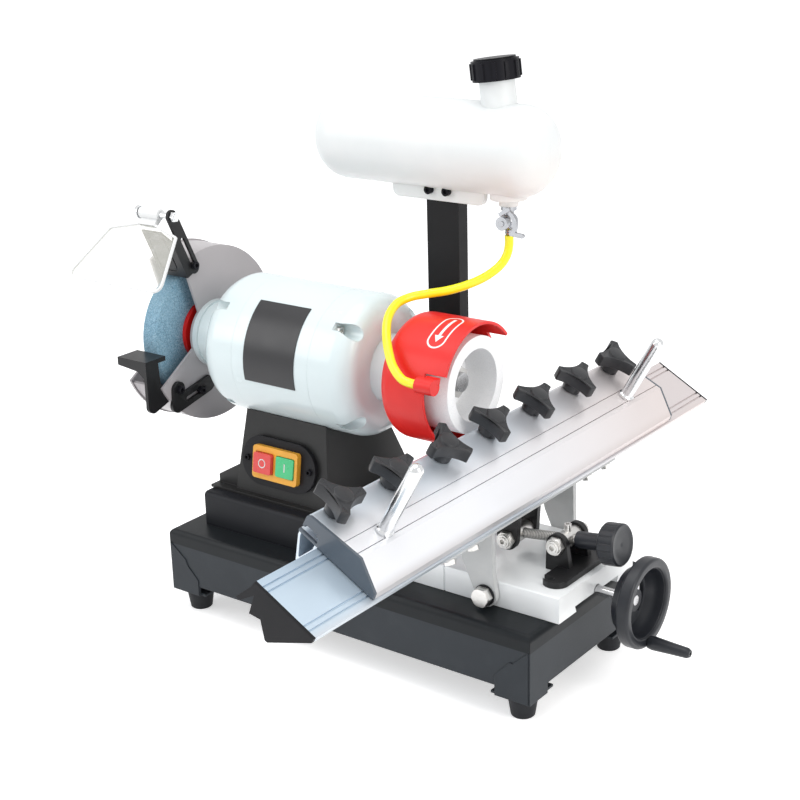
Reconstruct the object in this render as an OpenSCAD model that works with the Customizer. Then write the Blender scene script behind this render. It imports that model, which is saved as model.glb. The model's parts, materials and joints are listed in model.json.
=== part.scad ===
// Wet grinding sharpener for straight planer knives.
// A bench motor drives a straight wheel on its left and a cup wheel on its right.
// The knife rides past the cup wheel on a carriage that slides along a tilting rail.
// X runs towards the handwheel, Y runs along the rail, Z is up. Z = 0 is the bench.

/* [Base] */
// Length of the base box along X
base_l = 466; // [430:1:520]
// Depth of the base box along Y
base_d = 208; // [200:1:240]
// Height of the base top above the bench
base_top = 96; // [93:1:98]
// Height of the lower edge of the base panels
panel_z = 35; // [30:1:42]
// Height of the lower edge of the base corners
corner_z = 24; // [20:1:28]
// Length of each corner drop along the panels
corner_l = 40; // [30:1:60]
// Thickness of the base sheet
base_t = 2.5; // [1.5:0.5:4]
// Radius of the folds along the base top
fold_r = 7; // [4:1:12]
// Diameter of a rubber foot at the top
foot_d = 30; // [24:1:36]
// Distance of a foot centre from the ends of the base
foot_inset = 21; // [19:1:30]

/* [Stand] */
// Left end of the riser channel
riser_x0 = -207; // [-212:1:-200]
// Right end of the riser channel
riser_x1 = -60; // [-64:1:-52]
// Depth of the riser channel
riser_d = 162; // [150:1:180]
// Height of the riser channel
riser_h = 38; // [30:1:44]
// Thickness of the riser and stand sheet
stand_t = 3; // [2:0.5:4]
// Width of the motor stand at its foot
stand_foot_w = 130; // [120:1:140]
// Width of the motor stand at its top
stand_top_w = 108; // [90:1:116]
// Depth of the motor stand at its foot
stand_foot_d = 150; // [130:1:156]
// Depth of the motor stand at the motor
stand_top_d = 88; // [70:1:110]
// Length of the foot flange that stands out on the left
stand_flange = 36; // [20:1:40]

/* [Motor] */
// Height of the spindle above the bench
spindle_z = 288; // [280:1:300]
// Position of the spindle line along Y
spindle_y = 10; // [6:1:14]
// Outer diameter of the motor shell
motor_d = 151; // [144:1:154]
// Wall of the motor shell
motor_wall = 6; // [4:0.5:8]
// Length of the motor shell between its bells
shell_l = 103; // [96:1:108]
// Length of each end bell, with its neck
bell_l = 70; // [60:1:72]
// Length of the neck that carries the bearing
neck_l = 20; // [16:1:22]
// Diameter of the neck
bell_neck_d = 72; // [70:1:74]
// Middle of the motor along X
motor_x = -109.5; // [-112:0.5:-107]
// Diameter of the spindle
shaft_d = 20; // [16:1:22]
// Length of the stator stack
stator_l = 80; // [60:1:88]
// Outer diameter of the rotor
rotor_d = 84; // [70:1:90]

/* [Straight wheel] */
// Diameter of the straight grinding wheel
wheel_d = 150; // [140:1:156]
// Thickness of the straight grinding wheel
wheel_t = 20; // [16:1:24]
// Left face of the straight grinding wheel
wheel_x = -291; // [-294:1:-286]
// Outer diameter of the wheel guard
guard_d = 196; // [190:1:204]
// Distance between the guard cheeks, outside to outside
guard_w = 48; // [46:1:54]
// Thickness of the guard sheet
guard_t = 3; // [2:0.5:4]
// Diameter of the wheel flanges
flange_d = 69; // [60:1:72]

/* [Cup wheel] */
// Diameter of the cup wheel
cup_d = 100; // [90:1:106]
// Depth of the cup wheel
cup_h = 50; // [44:1:54]
// Face of the cup wheel along X
cup_x = 98; // [95:1:102]
// Width of the cup rim
cup_rim = 13; // [9:1:16]
// Thickness of the cup back
cup_back = 12; // [9:1:15]
// Outer diameter of the cup guard
cup_guard_d = 130; // [126:1:136]
// Wall of the cup guard
cup_guard_t = 3; // [2:0.5:4]

/* [Water] */
// Length of the water tank
tank_l = 277; // [260:1:300]
// Diameter of the water tank
tank_d = 92; // [84:1:98]
// Height of the tank axis above the bench
tank_z = 509; // [500:1:530]
// Wall of the tank
tank_t = 3; // [2:0.5:4]
// Width of the tank post
post_w = 40; // [36:1:44]
// Depth of the tank post
post_d = 16; // [14:1:18]
// Wall of the tank post
post_t = 2.5; // [2:0.5:4]
// Diameter of the filler cap
cap_d = 48; // [44:1:52]
// Diameter of the hose
hose_d = 9; // [8:1:10]

/* [Feed table] */
// Length of the saddle along X
saddle_l = 170; // [160:1:176]
// Width of the saddle along Y
saddle_w = 143; // [138:1:150]
// Right end of the saddle along X
saddle_x = 241; // [238:1:246]
// Height of the saddle top above the base top
saddle_h = 27; // [25:1:32]
// Width of the dovetail bed at its top
bed_w = 90; // [84:1:94]
// Height of the dovetail bed
bed_h = 16; // [14:1:17]
// Diameter of the leadscrew
screw_d = 10; // [8:0.5:10]
// Diameter of the handwheel
handwheel_d = 90; // [84:1:100]
// Running gap between sliding faces
slide_gap = 0.4; // [0.3:0.1:0.6]

/* [Rail and carriage] */
// Tilt of the rail top from level, in degrees
rail_tilt = 29.4; // [28:0.2:31]
// Length of the rail
rail_l = 705; // [640:5:760]
// Width of the rail top
rail_w = 71; // [68:0.5:74]
// Height of the pivot line above the base top
pivot_h = 13; // [12.5:0.5:14]
// Position of the pivot line along X
pivot_x = 162; // [161:1:164]
// Length of the carriage
carriage_l = 535; // [500:5:600]
// Number of clamp knobs
knobs = 7; // [7:1:7]
// Distance between clamp knobs
knob_pitch = 80; // [74:1:86]
// Length of a chrome handle
handle_l = 80; // [60:1:100]
// Diameter of a chrome handle
handle_d = 14; // [12:1:16]
// Thickness of each pivot ear
ear_t = 6; // [5:0.5:8]

/* [Hidden] */
$fn = 64;

// General clearances
run_fit = 0.05;
seat = 0.2;

// Motor
motor_r = motor_d / 2;
shell_x0 = motor_x - shell_l / 2;
shell_x1 = motor_x + shell_l / 2;
bell_x0 = shell_x0 - bell_l;
bell_x1 = shell_x1 + bell_l;
shaft_r = shaft_d / 2;
bearing_r = shaft_r + 11;
bearing_w = 14;
stator_r = motor_r - motor_wall - seat;
bell_bolt_r = motor_r - 9;
bell_seat = 20;
bell_body = bell_l - neck_l;
bell_neck_r = bell_neck_d / 2;
bolt_angles = [45, 135, 225, 315];

// Stand and riser
riser_top = base_top + riser_h;
stand_x = motor_x - 6;
stand_y = spindle_y + 16;
stand_top_z = spindle_z - 62;
flange_bolt_x = stand_x - stand_foot_w / 2 - 16;
flange_bolt_y = [stand_y - 50, stand_y + 50];

// Straight wheel
guard_x1 = wheel_x + wheel_t + 18;
guard_x0 = guard_x1 - guard_w;
guard_r = guard_d / 2;
guard_hub_r = bell_neck_r + 2;
cover_angles = [0, 90, 270];

// Cup wheel
cup_x0 = cup_x - cup_h;
cup_guard_r = cup_guard_d / 2;
cup_guard_x0 = bell_x1 + 10;
cup_guard_low = cup_x - 19;
cup_guard_top = cup_x + 5;
nozzle_y = spindle_y - 76;
nozzle_z = spindle_z + 19;
nozzle_x = cup_x - 16;

// Water
post_x = 6;
post_y = spindle_y + motor_r + 1.5;
tank_x = post_x - 10;
tank_y = post_y + 2;
tank_r = tank_d / 2;
post_top = tank_z - tank_r + 4;
neck_x = tank_x + 80;
neck_tilt = -7;
neck_h = 42;
valve_x = tank_x + 90;
valve_z = tank_z - tank_r - 26;
valve_top = tank_z - tank_r - 10;

// Screw places in the base top, as [x, y]
top_holes = concat([for (x = [riser_x0 + 20, riser_x1 - 20]) for (side = [-1, 1])
    [x, spindle_y - 1 + side * (riser_d / 2 - stand_t - 7)]],
    [for (side = [-10, 10]) [post_x + side, post_y + 7.5]]);

// Feed table
mid_y = 6;
saddle_top = base_top + saddle_h;
saddle_x0 = saddle_x - saddle_l;
bed_top = base_top + bed_h;
bed_x0 = 44;
bed_x1 = 222;
dovetail = 6;
screw_r = screw_d / 2;
screw_z = base_top + 8;
wheel_hub_x = 266;
handwheel_x = 292;
crank_r = handwheel_d / 2 - 10;

// Rail, tilted about Y: u runs down the slope, w is square to the rail top
rail_x = 180;
rail_z = base_top + 90;
pivot_z = base_top + pivot_h;
row_y = -10.3;
handle_u = -42;
knob_u = -82;
carriage_top = 26;
wing_top = 22.5;
wing_low = 9;
jaw_top = 3.6;
knob_angles = [77, 100, 26, 98, 103, 108, 11];
cradle_y0 = mid_y - saddle_w / 2 - seat - 0.8;
cradle_y1 = mid_y + saddle_w / 2 + seat + 0.8;

// Tilt adjuster
upper_x = 150;
upper_z = base_top + 47.5;
lower_x = 207;
lower_z = base_top + 54.5;
adjuster_a = atan2(lower_z - upper_z, lower_x - upper_x);
adjuster_r = 5;
cheek_gap = 30;
cheek_t = 6;

// Hose route, barb to nozzle
hose_points = [
    [86, 89, 422.8], [86, 89, 412], [84.5, 86, 401], [80, 78, 391], [71, 65, 382],
    [60, 50, 376], [47, 36, 372], [33, 22, 370], [21, 8, 368], [15.5, -8, 364],
    [18, -25, 356], [26, -40, 346], [36, -51.5, 333], [48, -60.5, 319], [62, -65.5, 309.5],
    [73, -66, 307], [81.7, -66, 307]
];

// ---------- helpers ----------
module along_x(x0, x1, y = 0, z = 0) {
    translate([x0, y, z]) rotate([90, 0, 90]) linear_extrude(x1 - x0) children();
}
module along_y(y0, y1, x = 0, z = 0) {
    translate([x, y1, z]) rotate([90, 0, 0]) linear_extrude(y1 - y0) children();
}
module rod_x(r, x0, x1, y, z) {
    translate([x0, y, z]) rotate([0, 90, 0]) cylinder(r = r, h = x1 - x0);
}
module rod_y(r, y0, y1, x, z) {
    translate([x, y1, z]) rotate([90, 0, 0]) cylinder(r = r, h = y1 - y0);
}
// Turns a profile of [radius, x] round a line along X
module turned_x(y, z) {
    translate([0, y, z]) rotate([0, 90, 0]) rotate_extrude() children();
}
// Turns a shape about the spindle line, with Y and Z measured from it
module on_spindle(a) {
    translate([0, spindle_y, spindle_z]) rotate([a, 0, 0]) children();
}
module box(x0, x1, y0, y1, z0, z1) {
    translate([x0, y0, z0]) cube([x1 - x0, y1 - y0, z1 - z0]);
}
module hex(across, h) {
    cylinder(r = across / sqrt(3), h = h, $fn = 6);
}
// A rectangle from corner to corner with four round corners
module soft_rect(x0, y0, x1, y1, r) {
    translate([x0 + r, y0]) square([x1 - x0 - 2 * r, y1 - y0]);
    translate([x0, y0 + r]) square([x1 - x0, y1 - y0 - 2 * r]);
    for (x = [x0 + r, x1 - r]) for (y = [y0 + r, y1 - r]) translate([x, y]) circle(r);
}
// A slot outline from a to b
module slot(ax, ay, bx, by, r) {
    translate([ax, ay]) circle(r);
    translate([bx, by]) circle(r);
    translate([ax, ay]) rotate(atan2(by - ay, bx - ax))
        translate([0, -r]) square([norm([bx - ax, by - ay]), 2 * r]);
}
// A sector of a ring between two angles, for cutting
module sector(r, a0, a1) {
    steps = 12;
    polygon(concat([[0, 0]], [for (i = [0:steps]) let (a = a0 + (a1 - a0) * i / steps) [r * cos(a), r * sin(a)]]));
}
// Puts a shape into the tilted frame of the rail
module on_rail() {
    translate([rail_x, mid_y, rail_z]) rotate([0, rail_tilt, 0]) children();
}
// Puts a shape along the adjuster, X running from the upper pin to the knob
module on_adjuster() {
    translate([upper_x, mid_y, upper_z]) rotate([0, -adjuster_a, 0]) children();
}

// ---------- base ----------
module base_outline(l, d, top, low, r) {
    intersection() {
        along_x(-l / 2, l / 2) {
            translate([-d / 2, low]) square([d, top - low - r]);
            soft_rect(-d / 2, low, d / 2, top, r);
        }
        along_y(-d / 2, d / 2) {
            translate([-l / 2, low]) square([l, top - low - r]);
            soft_rect(-l / 2, low, l / 2, top, r);
        }
    }
}
module base_box() {
    color([0.2, 0.22, 0.25]) difference() {
        base_outline(base_l, base_d, base_top, corner_z, fold_r);
        translate([0, 0, -base_t - 1])
            base_outline(base_l - 2 * base_t, base_d - 2 * base_t, base_top + 1, corner_z - 10, fold_r - base_t);
        box(-base_l / 2 + corner_l, base_l / 2 - corner_l, -base_d, base_d, 0, panel_z);
        box(-base_l, base_l, -base_d / 2 + corner_l * 0.8, base_d / 2 - corner_l * 0.8, 0, panel_z);
        for (sx = [-1, 1]) for (sy = [-1, 1]) {
            translate([sx * (base_l / 2 - 12), sy * (base_d / 2 + 1), corner_z + 12])
                rotate([sy * 90, 0, 0]) cylinder(r = 1.6, h = base_t + 2);
        }
        rod_y(8, base_d / 2 - 9, base_d / 2 + 1, motor_x - 30, base_top - 22);
        for (p = top_holes) translate([p[0], p[1], base_top - 9]) cylinder(r = 2.7, h = 20);
    }
    // Corner brackets that carry the feet
    color([0.2, 0.22, 0.25]) for (sx = [-1, 1]) for (sy = [-1, 1]) {
        x = sx * (base_l / 2 - foot_inset - 2);
        y = sy * (base_d / 2 - foot_inset - 2);
        difference() {
            intersection() {
                box(-base_l / 2 + base_t, base_l / 2 - base_t, -base_d / 2 + base_t, base_d / 2 - base_t,
                    corner_z, corner_z + base_t);
                translate([x, y, corner_z + 1]) cube([corner_l + 6, corner_l + 6, 8], center = true);
            }
            translate([sx * (base_l / 2 - foot_inset), sy * (base_d / 2 - foot_inset), 0]) cylinder(r = 3.2, h = 60);
        }
    }
}
module rubber_feet() {
    color([0.1, 0.1, 0.11]) for (sx = [-1, 1]) for (sy = [-1, 1]) {
        translate([sx * (base_l / 2 - foot_inset), sy * (base_d / 2 - foot_inset), 0]) rotate_extrude() difference() {
            polygon([[0, 0], [foot_d / 2 - 4, 0], [foot_d / 2 - 3, 1], [foot_d / 2, corner_z - 4],
                [foot_d / 2, corner_z], [3, corner_z], [3, corner_z + base_t + 1], [5, corner_z + base_t + 1],
                [4, corner_z + base_t + 5], [0, corner_z + base_t + 5]]);
            square([5, 6]);
        }
    }
}
module riser_channel() {
    y0 = spindle_y - 1 - riser_d / 2;
    y1 = y0 + riser_d;
    color([0.17, 0.18, 0.21]) difference() {
        union() {
            along_x(riser_x0, riser_x1) difference() {
                union() {
                    translate([y0, base_top]) square([riser_d, riser_h - 5]);
                    soft_rect(y0, base_top, y1, riser_top, 5);
                }
                translate([y0 + stand_t, base_top - 1]) square([riser_d - 2 * stand_t, riser_h + 1 - stand_t]);
            }
            // Bent foot tabs that bolt to the base
            for (y = [y0 + stand_t, y1 - stand_t - 14]) box(riser_x0, riser_x1, y, y + 14, base_top, base_top + stand_t);
        }
        for (p = top_holes) translate([p[0], p[1], base_top - 1]) cylinder(r = 2.7, h = 6);
        for (y = flange_bolt_y) translate([flange_bolt_x, y, riser_top - 9]) cylinder(r = 3.3, h = 18);
    }
}

// ---------- motor stand ----------
module stand_solid(shrink, drop) {
    // Wedge that narrows both ways towards the motor
    intersection() {
        along_y(stand_y - 200, stand_y + 200) polygon([
            [stand_x - stand_foot_w / 2 + shrink, riser_top - drop], [stand_x + stand_foot_w / 2 - shrink, riser_top - drop],
            [stand_x + stand_top_w / 2 - shrink, stand_top_z + 8 - shrink],
            [stand_x - stand_top_w / 2 + shrink, stand_top_z + 8 - shrink]]);
        along_x(stand_x - 200, stand_x + 200) polygon([
            [stand_y - stand_foot_d / 2 + shrink, riser_top - drop], [stand_y + stand_foot_d / 2 - shrink, riser_top - drop],
            [spindle_y + stand_top_d / 2 - shrink, stand_top_z + 8 - shrink],
            [spindle_y - stand_top_d / 2 + shrink, stand_top_z + 8 - shrink]]);
    }
}
module motor_stand() {
    shelf_z = spindle_z - motor_r - 10;
    color([0.24, 0.24, 0.25]) {
        difference() {
            stand_solid(0, 0);
            difference() {
                stand_solid(stand_t, 1);
                box(-300, 100, -150, 200, shelf_z - stand_t, shelf_z);
            }
            rod_x(motor_r + 0.6, motor_x - 100, motor_x + 100, spindle_y, spindle_z);
            for (x = [motor_x - 36, motor_x + 36]) for (y = [spindle_y - 30, spindle_y + 30])
                translate([x, y, shelf_z - 10]) cylinder(r = 4.2, h = 12);
            on_switch() {
                for (x = [-43, 43]) translate([x, 0, -9]) cylinder(r = 2.2, h = 12);
                translate([-29, -15, -20]) cube([58, 30, 30]);
            }
        }
        // Foot flange all round, long on the left
        difference() {
            box(stand_x - stand_foot_w / 2 - stand_flange + 6, stand_x + stand_foot_w / 2 + 8,
                stand_y - stand_foot_d / 2 - 8, stand_y + stand_foot_d / 2 + 4, riser_top, riser_top + stand_t);
            box(stand_x - stand_foot_w / 2 + stand_t, stand_x + stand_foot_w / 2 - stand_t,
                stand_y - stand_foot_d / 2 + stand_t, stand_y + stand_foot_d / 2 - stand_t, riser_top - 1, riser_top + 9);
            for (y = flange_bolt_y) translate([flange_bolt_x, y, riser_top - 1])
                cylinder(r = 3.3, h = 9);
        }
        // Left gusset wings between the flange and the wedge
        for (y = [stand_y - stand_foot_d / 2 + 4, stand_y + stand_foot_d / 2 - 8]) along_y(y, y + stand_t)
            polygon([[stand_x - stand_foot_w / 2 - stand_flange + 8, riser_top + 1],
                [stand_x - stand_foot_w / 2 - stand_flange + 8, riser_top + 12],
                [stand_x - stand_foot_w / 2 + 3, riser_top + 30], [stand_x - stand_foot_w / 2 + 3, riser_top + 1]]);
    }
}

// ---------- switch on the front of the stand ----------
switch_lean = atan2(stand_foot_d / 2 + spindle_y - stand_top_d / 2 - stand_y, stand_top_z + 8 - riser_top);
module on_switch() {
    translate([stand_x, stand_y - stand_foot_d / 2, riser_top]) rotate([90 - switch_lean, 0, 0])
        translate([-3, 42, 0]) children();
}
module switch_plate() {
    color([0.1, 0.1, 0.11]) on_switch() {
        translate([0, 0, seat]) linear_extrude(5) difference() {
            slot(-24, 0, 24, 0, 27);
            for (x = [-43, 43]) translate([x, 0]) circle(2.2);
        }
        // Contact block behind the stand wall
        translate([-28, -14, -18]) cube([56, 28, 18 + seat]);
    }
}
module switch_frame() {
    color([0.95, 0.65, 0.15]) on_switch() translate([0, 0, 5 + seat]) linear_extrude(6) difference() {
        soft_rect(-31, -18, 31, 18, 4);
        soft_rect(-27, -11.5, -1.8, 11.5, 1.5);
        soft_rect(1.8, -11.5, 27, 11.5, 1.5);
    }
}
module push_button(x, proud, mark) {
    on_switch() translate([x, 0, 0]) difference() {
        union() {
            translate([0, 0, 8.5]) linear_extrude(proud) soft_rect(-12.1, -11, 12.1, 11, 2);
            translate([0, 0, 7.4]) linear_extrude(1.2) soft_rect(-9, -8, 9, 8, 2);
        }
        translate([0, 0, 8.5 + proud - 0.8]) linear_extrude(2)
            if (mark == "ring") difference() { circle(5); circle(3.8); } else square([1.6, 9], center = true);
    }
}
module stop_button() { color([0.85, 0.12, 0.12]) push_button(-14.4, 7, "ring"); }
module start_button() { color([0.15, 0.6, 0.3]) push_button(14.4, 4, "bar"); }

// ---------- motor ----------
module motor_shell() {
    color([0.86, 0.92, 0.9]) difference() {
        union() {
            rod_x(motor_r, shell_x0, shell_x1, spindle_y, spindle_z);
            // Cast foot down to the shelf of the stand
            box(motor_x - 44, motor_x + 44, spindle_y - 38, spindle_y + 38, spindle_z - motor_r - 10,
                spindle_z - motor_r + 22);
        }
        difference() {
            rod_x(motor_r - motor_wall, shell_x0 - 1, shell_x1 + 1, spindle_y, spindle_z);
            for (x = [shell_x0, shell_x1 - 9]) for (a = bolt_angles) on_spindle(a) rod_x(7, x, x + 9, bell_bolt_r, 0);
        }
        for (a = bolt_angles) on_spindle(a) rod_x(2.7, shell_x0 - 1, shell_x1 + 1, bell_bolt_r, 0);
        box(motor_x - 60, motor_x + 60, spindle_y - 20, spindle_y + 20, spindle_z - motor_r - 11,
            spindle_z - motor_r - 4);
        for (x = [motor_x - 36, motor_x + 36]) for (y = [spindle_y - 30, spindle_y + 30])
            translate([x, y, spindle_z - motor_r - 11]) cylinder(r = 4.2, h = 13);
    }
}
// One end bell, drawn with its open side at x = 0 and its nose towards +x
module bell_outline() {
    square([motor_r, bell_body - 24]);
    square([motor_r - 24, bell_body]);
    intersection() {
        translate([motor_r - 24, bell_body - 24]) circle(24);
        square([motor_r, bell_body]);
    }
}
module end_bell() {
    difference() {
        union() {
            turned_x(spindle_y, spindle_z) difference() {
                union() {
                    bell_outline();
                    square([bell_neck_r, bell_l]);
                    square([27, bell_l + 9]);
                }
                translate([-1, -1]) square([motor_r - motor_wall + 1, bell_body - 23]);
                translate([-1, bell_body - 34]) square([motor_r - motor_wall - 19, 20]);
                translate([-1, bell_body - 15]) square([bearing_r + 1, neck_l + bearing_w]);
                translate([-1, bell_l - 2]) square([bearing_r - 3, 30]);
            }
            // Bosses under the bolt seats
            intersection() {
                turned_x(spindle_y, spindle_z) bell_outline();
                for (a = bolt_angles) on_spindle(a) rod_x(11, 0, bell_seat + 8, bell_bolt_r, 0);
            }
        }
        for (a = bolt_angles) on_spindle(a) {
            rod_x(8, bell_seat, bell_l + 9, bell_bolt_r + 2, 0);
            rod_x(2.7, -1, bell_seat + 1, bell_bolt_r, 0);
        }
        for (a = bolt_angles) on_spindle(a) rod_x(1.6, bell_l - 8, bell_l + 1, 30.5, 0);
    }
}
module end_bells() {
    color([0.86, 0.92, 0.9]) {
        translate([shell_x1, 0, 0]) end_bell();
        translate([shell_x0, 0, 0]) mirror([1, 0, 0]) end_bell();
    }
}
module stator() {
    color([0.55, 0.35, 0.2]) difference() {
        rod_x(stator_r, motor_x - stator_l / 2, motor_x + stator_l / 2, spindle_y, spindle_z);
        rod_x(rotor_d / 2 + 0.6, motor_x - 60, motor_x + 60, spindle_y, spindle_z);
        for (i = [0:11]) translate([0, spindle_y, spindle_z]) rotate([i * 30 + 15, 0, 0])
            along_x(motor_x - 60, motor_x + 60) translate([rotor_d / 2 - 2, -3]) square([10, 6]);
    }
}
module rotor_shaft() {
    color([0.7, 0.7, 0.72]) {
        rod_x(shaft_r, wheel_x - 14, cup_x0 + cup_back + 22, spindle_y, spindle_z);
        difference() {
            rod_x(rotor_d / 2, motor_x - stator_l / 2, motor_x + stator_l / 2, spindle_y, spindle_z);
            rod_x(shaft_r, motor_x - 50, motor_x + 50, spindle_y, spindle_z);
        }
    }
}
module bearing(x) {
    difference() {
        rod_x(bearing_r - run_fit, x, x + bearing_w - 2, spindle_y, spindle_z);
        rod_x(shaft_r + run_fit, x - 1, x + bearing_w, spindle_y, spindle_z);
    }
}
module bearings() {
    color([0.75, 0.75, 0.78]) {
        bearing(bell_x1 - 14);
        bearing(bell_x0 + 2);
    }
}
module motor_plate() {
    color([0.08, 0.08, 0.09]) intersection() {
        difference() {
            rod_x(motor_r + 1, motor_x - 34, motor_x + 34, spindle_y, spindle_z);
            rod_x(motor_r, motor_x - 35, motor_x + 35, spindle_y, spindle_z);
        }
        translate([0, spindle_y, spindle_z]) along_x(motor_x - 34, motor_x + 34) sector(motor_r + 20, 124, 192);
    }
}
module cable_gland() {
    color([0.1, 0.1, 0.11]) translate([motor_x - 30, base_d / 2, base_top - 22]) rotate([-90, 0, 0]) difference() {
        union() {
            translate([0, 0, -base_t - 6]) cylinder(r = 7.8, h = base_t + 10);
            translate([0, 0, 0]) hex(22, 6);
            translate([0, 0, 6]) cylinder(r = 9, h = 8);
        }
        translate([0, 0, -20]) cylinder(r = 4, h = 50);
    }
}

// ---------- straight wheel on the left ----------
module guard_mouth(x0, x1, more) {
    // Open front of the guard between two straight edges
    translate([0, spindle_y, spindle_z]) along_x(x0, x1) difference() {
        polygon([[-22.9 - more, 24.1], [-49.5 - more, 108], [-150, 108], [-150, -61.5], [-118.7, -61.5 + more],
            [-35.9, -9 + more]]);
        circle(guard_hub_r);
    }
}
module wheel_guard() {
    color([0.78, 0.8, 0.8]) difference() {
        union() {
            rod_x(guard_r, guard_x0 + guard_t + seat, guard_x1, spindle_y, spindle_z);
            // Welded hub ring and the collar that meets the neck of the motor
            rod_x(guard_hub_r, guard_x1, guard_x1 + 6.5, spindle_y, spindle_z);
            rod_x(bell_neck_r, guard_x1, bell_x0 - seat, spindle_y, spindle_z);
        }
        difference() {
            rod_x(guard_r - guard_t, guard_x0 - 1, guard_x1 - guard_t, spindle_y, spindle_z);
            for (a = cover_angles) on_spindle(a) rod_x(6, guard_x0 + guard_t + seat, guard_x1, guard_r - 12, 0);
        }
        for (a = cover_angles) on_spindle(a) rod_x(2.5, guard_x0 - 1, guard_x0 + 16, guard_r - 12, 0);
        rod_x(2.7, guard_x1 - 9, guard_x1 + 1, arm_y, arm_z);
        rod_x(2.7, guard_x1 - 9, guard_x1 + 1, bracket_pin_y, bracket_pin_z);
        rod_x(2.7, guard_x1 - 9, guard_x1 + 1, rest_pin_y, rest_pin_z);
        rod_x(27 + seat, guard_x0 - 1, bell_x0 + 5, spindle_y, spindle_z);
        guard_mouth(guard_x0 - 1, guard_x1 + 0.1, 0);
        // Notch in the rim for the arm of the tool rest
        along_x(guard_x1 - guard_t - 5, guard_x1 - guard_t, rest_pin_y, rest_pin_z) rotate(rest_slope)
            for (side = [0, 7]) slot(-50, side, 22 - 4 * side, side, 9.2);
    }
}
module guard_cover() {
    // Dished cover with a pressed dome over the spindle nut
    color([0.78, 0.8, 0.8]) difference() {
        translate([guard_x0, 0, 0]) turned_x(spindle_y, spindle_z) polygon([[0, -8], [27, -8], [33, 0],
            [guard_r + 1.5, 0], [guard_r + 1.5, guard_t], [31.5, guard_t], [25.5, guard_t - 8], [0, guard_t - 8]]);
        guard_mouth(guard_x0 - 1, guard_x0 + 9, 4);
        for (a = cover_angles) on_spindle(a) rod_x(2.7, guard_x0 - 1, guard_x0 + 9, guard_r - 12, 0);
    }
}
module grinding_wheel() {
    color([0.5, 0.6, 0.7]) difference() {
        rod_x(wheel_d / 2, wheel_x, wheel_x + wheel_t, spindle_y, spindle_z);
        rod_x(shaft_r, wheel_x - 1, wheel_x + wheel_t + 1, spindle_y, spindle_z);
    }
}
module wheel_flange(x0, x1, r, hollow) {
    difference() {
        rod_x(r, x0, x1, spindle_y, spindle_z);
        rod_x(shaft_r, x0 - 1, x1 + 1, spindle_y, spindle_z);
        rod_x(r - 10, hollow - 1, hollow + 1, spindle_y, spindle_z);
    }
}
module spindle_nut(x0, x1) {
    difference() {
        translate([x0, spindle_y, spindle_z]) rotate([0, 90, 0]) hex(30, x1 - x0);
        rod_x(shaft_r, x0 - 1, x1 + 1, spindle_y, spindle_z);
    }
}
module wheel_flanges() {
    color([0.35, 0.12, 0.12]) {
        wheel_flange(wheel_x - 5, wheel_x, flange_d / 2, wheel_x);
        wheel_flange(wheel_x + wheel_t, wheel_x + wheel_t + 5, flange_d / 2, wheel_x + wheel_t);
        rod_sleeve(wheel_x + wheel_t + 5, bell_x0 - 4, shaft_r + 6);
    }
    color([0.12, 0.12, 0.13]) {
        wheel_flange(cup_x0 - 6, cup_x0, 24, cup_x0);
        wheel_flange(cup_x0 + cup_back, cup_x0 + cup_back + 5, 24, cup_x0 + cup_back);
        rod_sleeve(bell_x1 + 4, cup_x0 - 6, shaft_r + 6);
    }
    color([0.7, 0.7, 0.72]) {
        spindle_nut(wheel_x - 13, wheel_x - 5);
        spindle_nut(cup_x0 + cup_back + 5, cup_x0 + cup_back + 17);
    }
}
module rod_sleeve(x0, x1, r) {
    difference() {
        rod_x(r, x0, x1, spindle_y, spindle_z);
        rod_x(shaft_r, x0 - 1, x1 + 1, spindle_y, spindle_z);
    }
}

// ---------- spark deflector and eye shield ----------
arm_x = guard_x1 + seat;
arm_t = 3;
arm_lean = 25;
arm_y = spindle_y - 30.6;
arm_z = spindle_z + 83.9;
arm_l = 65;
rod_r = 3.5;
shield_x = wheel_x + wheel_t / 2;
shield_tilt = 132.5;
// Half outline of the shield from the clamp to the foot, as [half width, length]
shield_side = [[11, 12], [49, 23], [66.5, 80], [66.8, 84.5], [65, 88], [61, 90.3], [0, 90.3]];
module on_deflector() {
    translate([0, arm_y, arm_z]) rotate([arm_lean, 0, 0]) children();
}
module spark_deflector() {
    color([0.14, 0.14, 0.15]) on_deflector() {
        along_x(arm_x, arm_x + arm_t) difference() {
            union() {
                slot(0, -3, 0, arm_l, 7);
                polygon([[-14.5, -7], [0, -7], [0, 52], [-6, 48], [-14.5, 38]]);
            }
            slot(0, -3, 0, 34, 2.6);
            translate([0, arm_l]) circle(rod_r + seat);
        }
        // Plate folded from the arm, with a pressed panel
        difference() {
            box(wheel_x + 1, arm_x + arm_t, -14.5, -12.5, -7, 52);
            along_y(-15, -13.9) difference() {
                soft_rect(wheel_x + 6, 0, arm_x - 6, 46, 7);
                soft_rect(wheel_x + 8, 2, arm_x - 8, 44, 5);
            }
            along_y(-16, -11) polygon([[arm_x - 10, 53], [arm_x + 9, 53], [arm_x + 9, 34]]);
        }
    }
}
module shield_rod() {
    color([0.75, 0.76, 0.78]) on_deflector() translate([0, 0, arm_l]) {
        rod_x(rod_r, shield_x - 19, arm_x + arm_t + 6, 0, 0);
        difference() {
            rod_x(7.5, shield_x - 19, shield_x - 15, 0, 0);
            rod_x(rod_r, shield_x - 20, shield_x - 14, 0, 0);
        }
        translate([arm_x + arm_t + seat, 0, 0]) rotate([0, 90, 0]) difference() {
            hex(10, 5);
            translate([0, 0, -1]) cylinder(r = rod_r, h = 9);
        }
    }
}
module on_shield() {
    translate([shield_x, arm_y - arm_l * sin(arm_lean), arm_z + arm_l * cos(arm_lean)])
        rotate([shield_tilt, 0, 0]) children();
}
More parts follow.
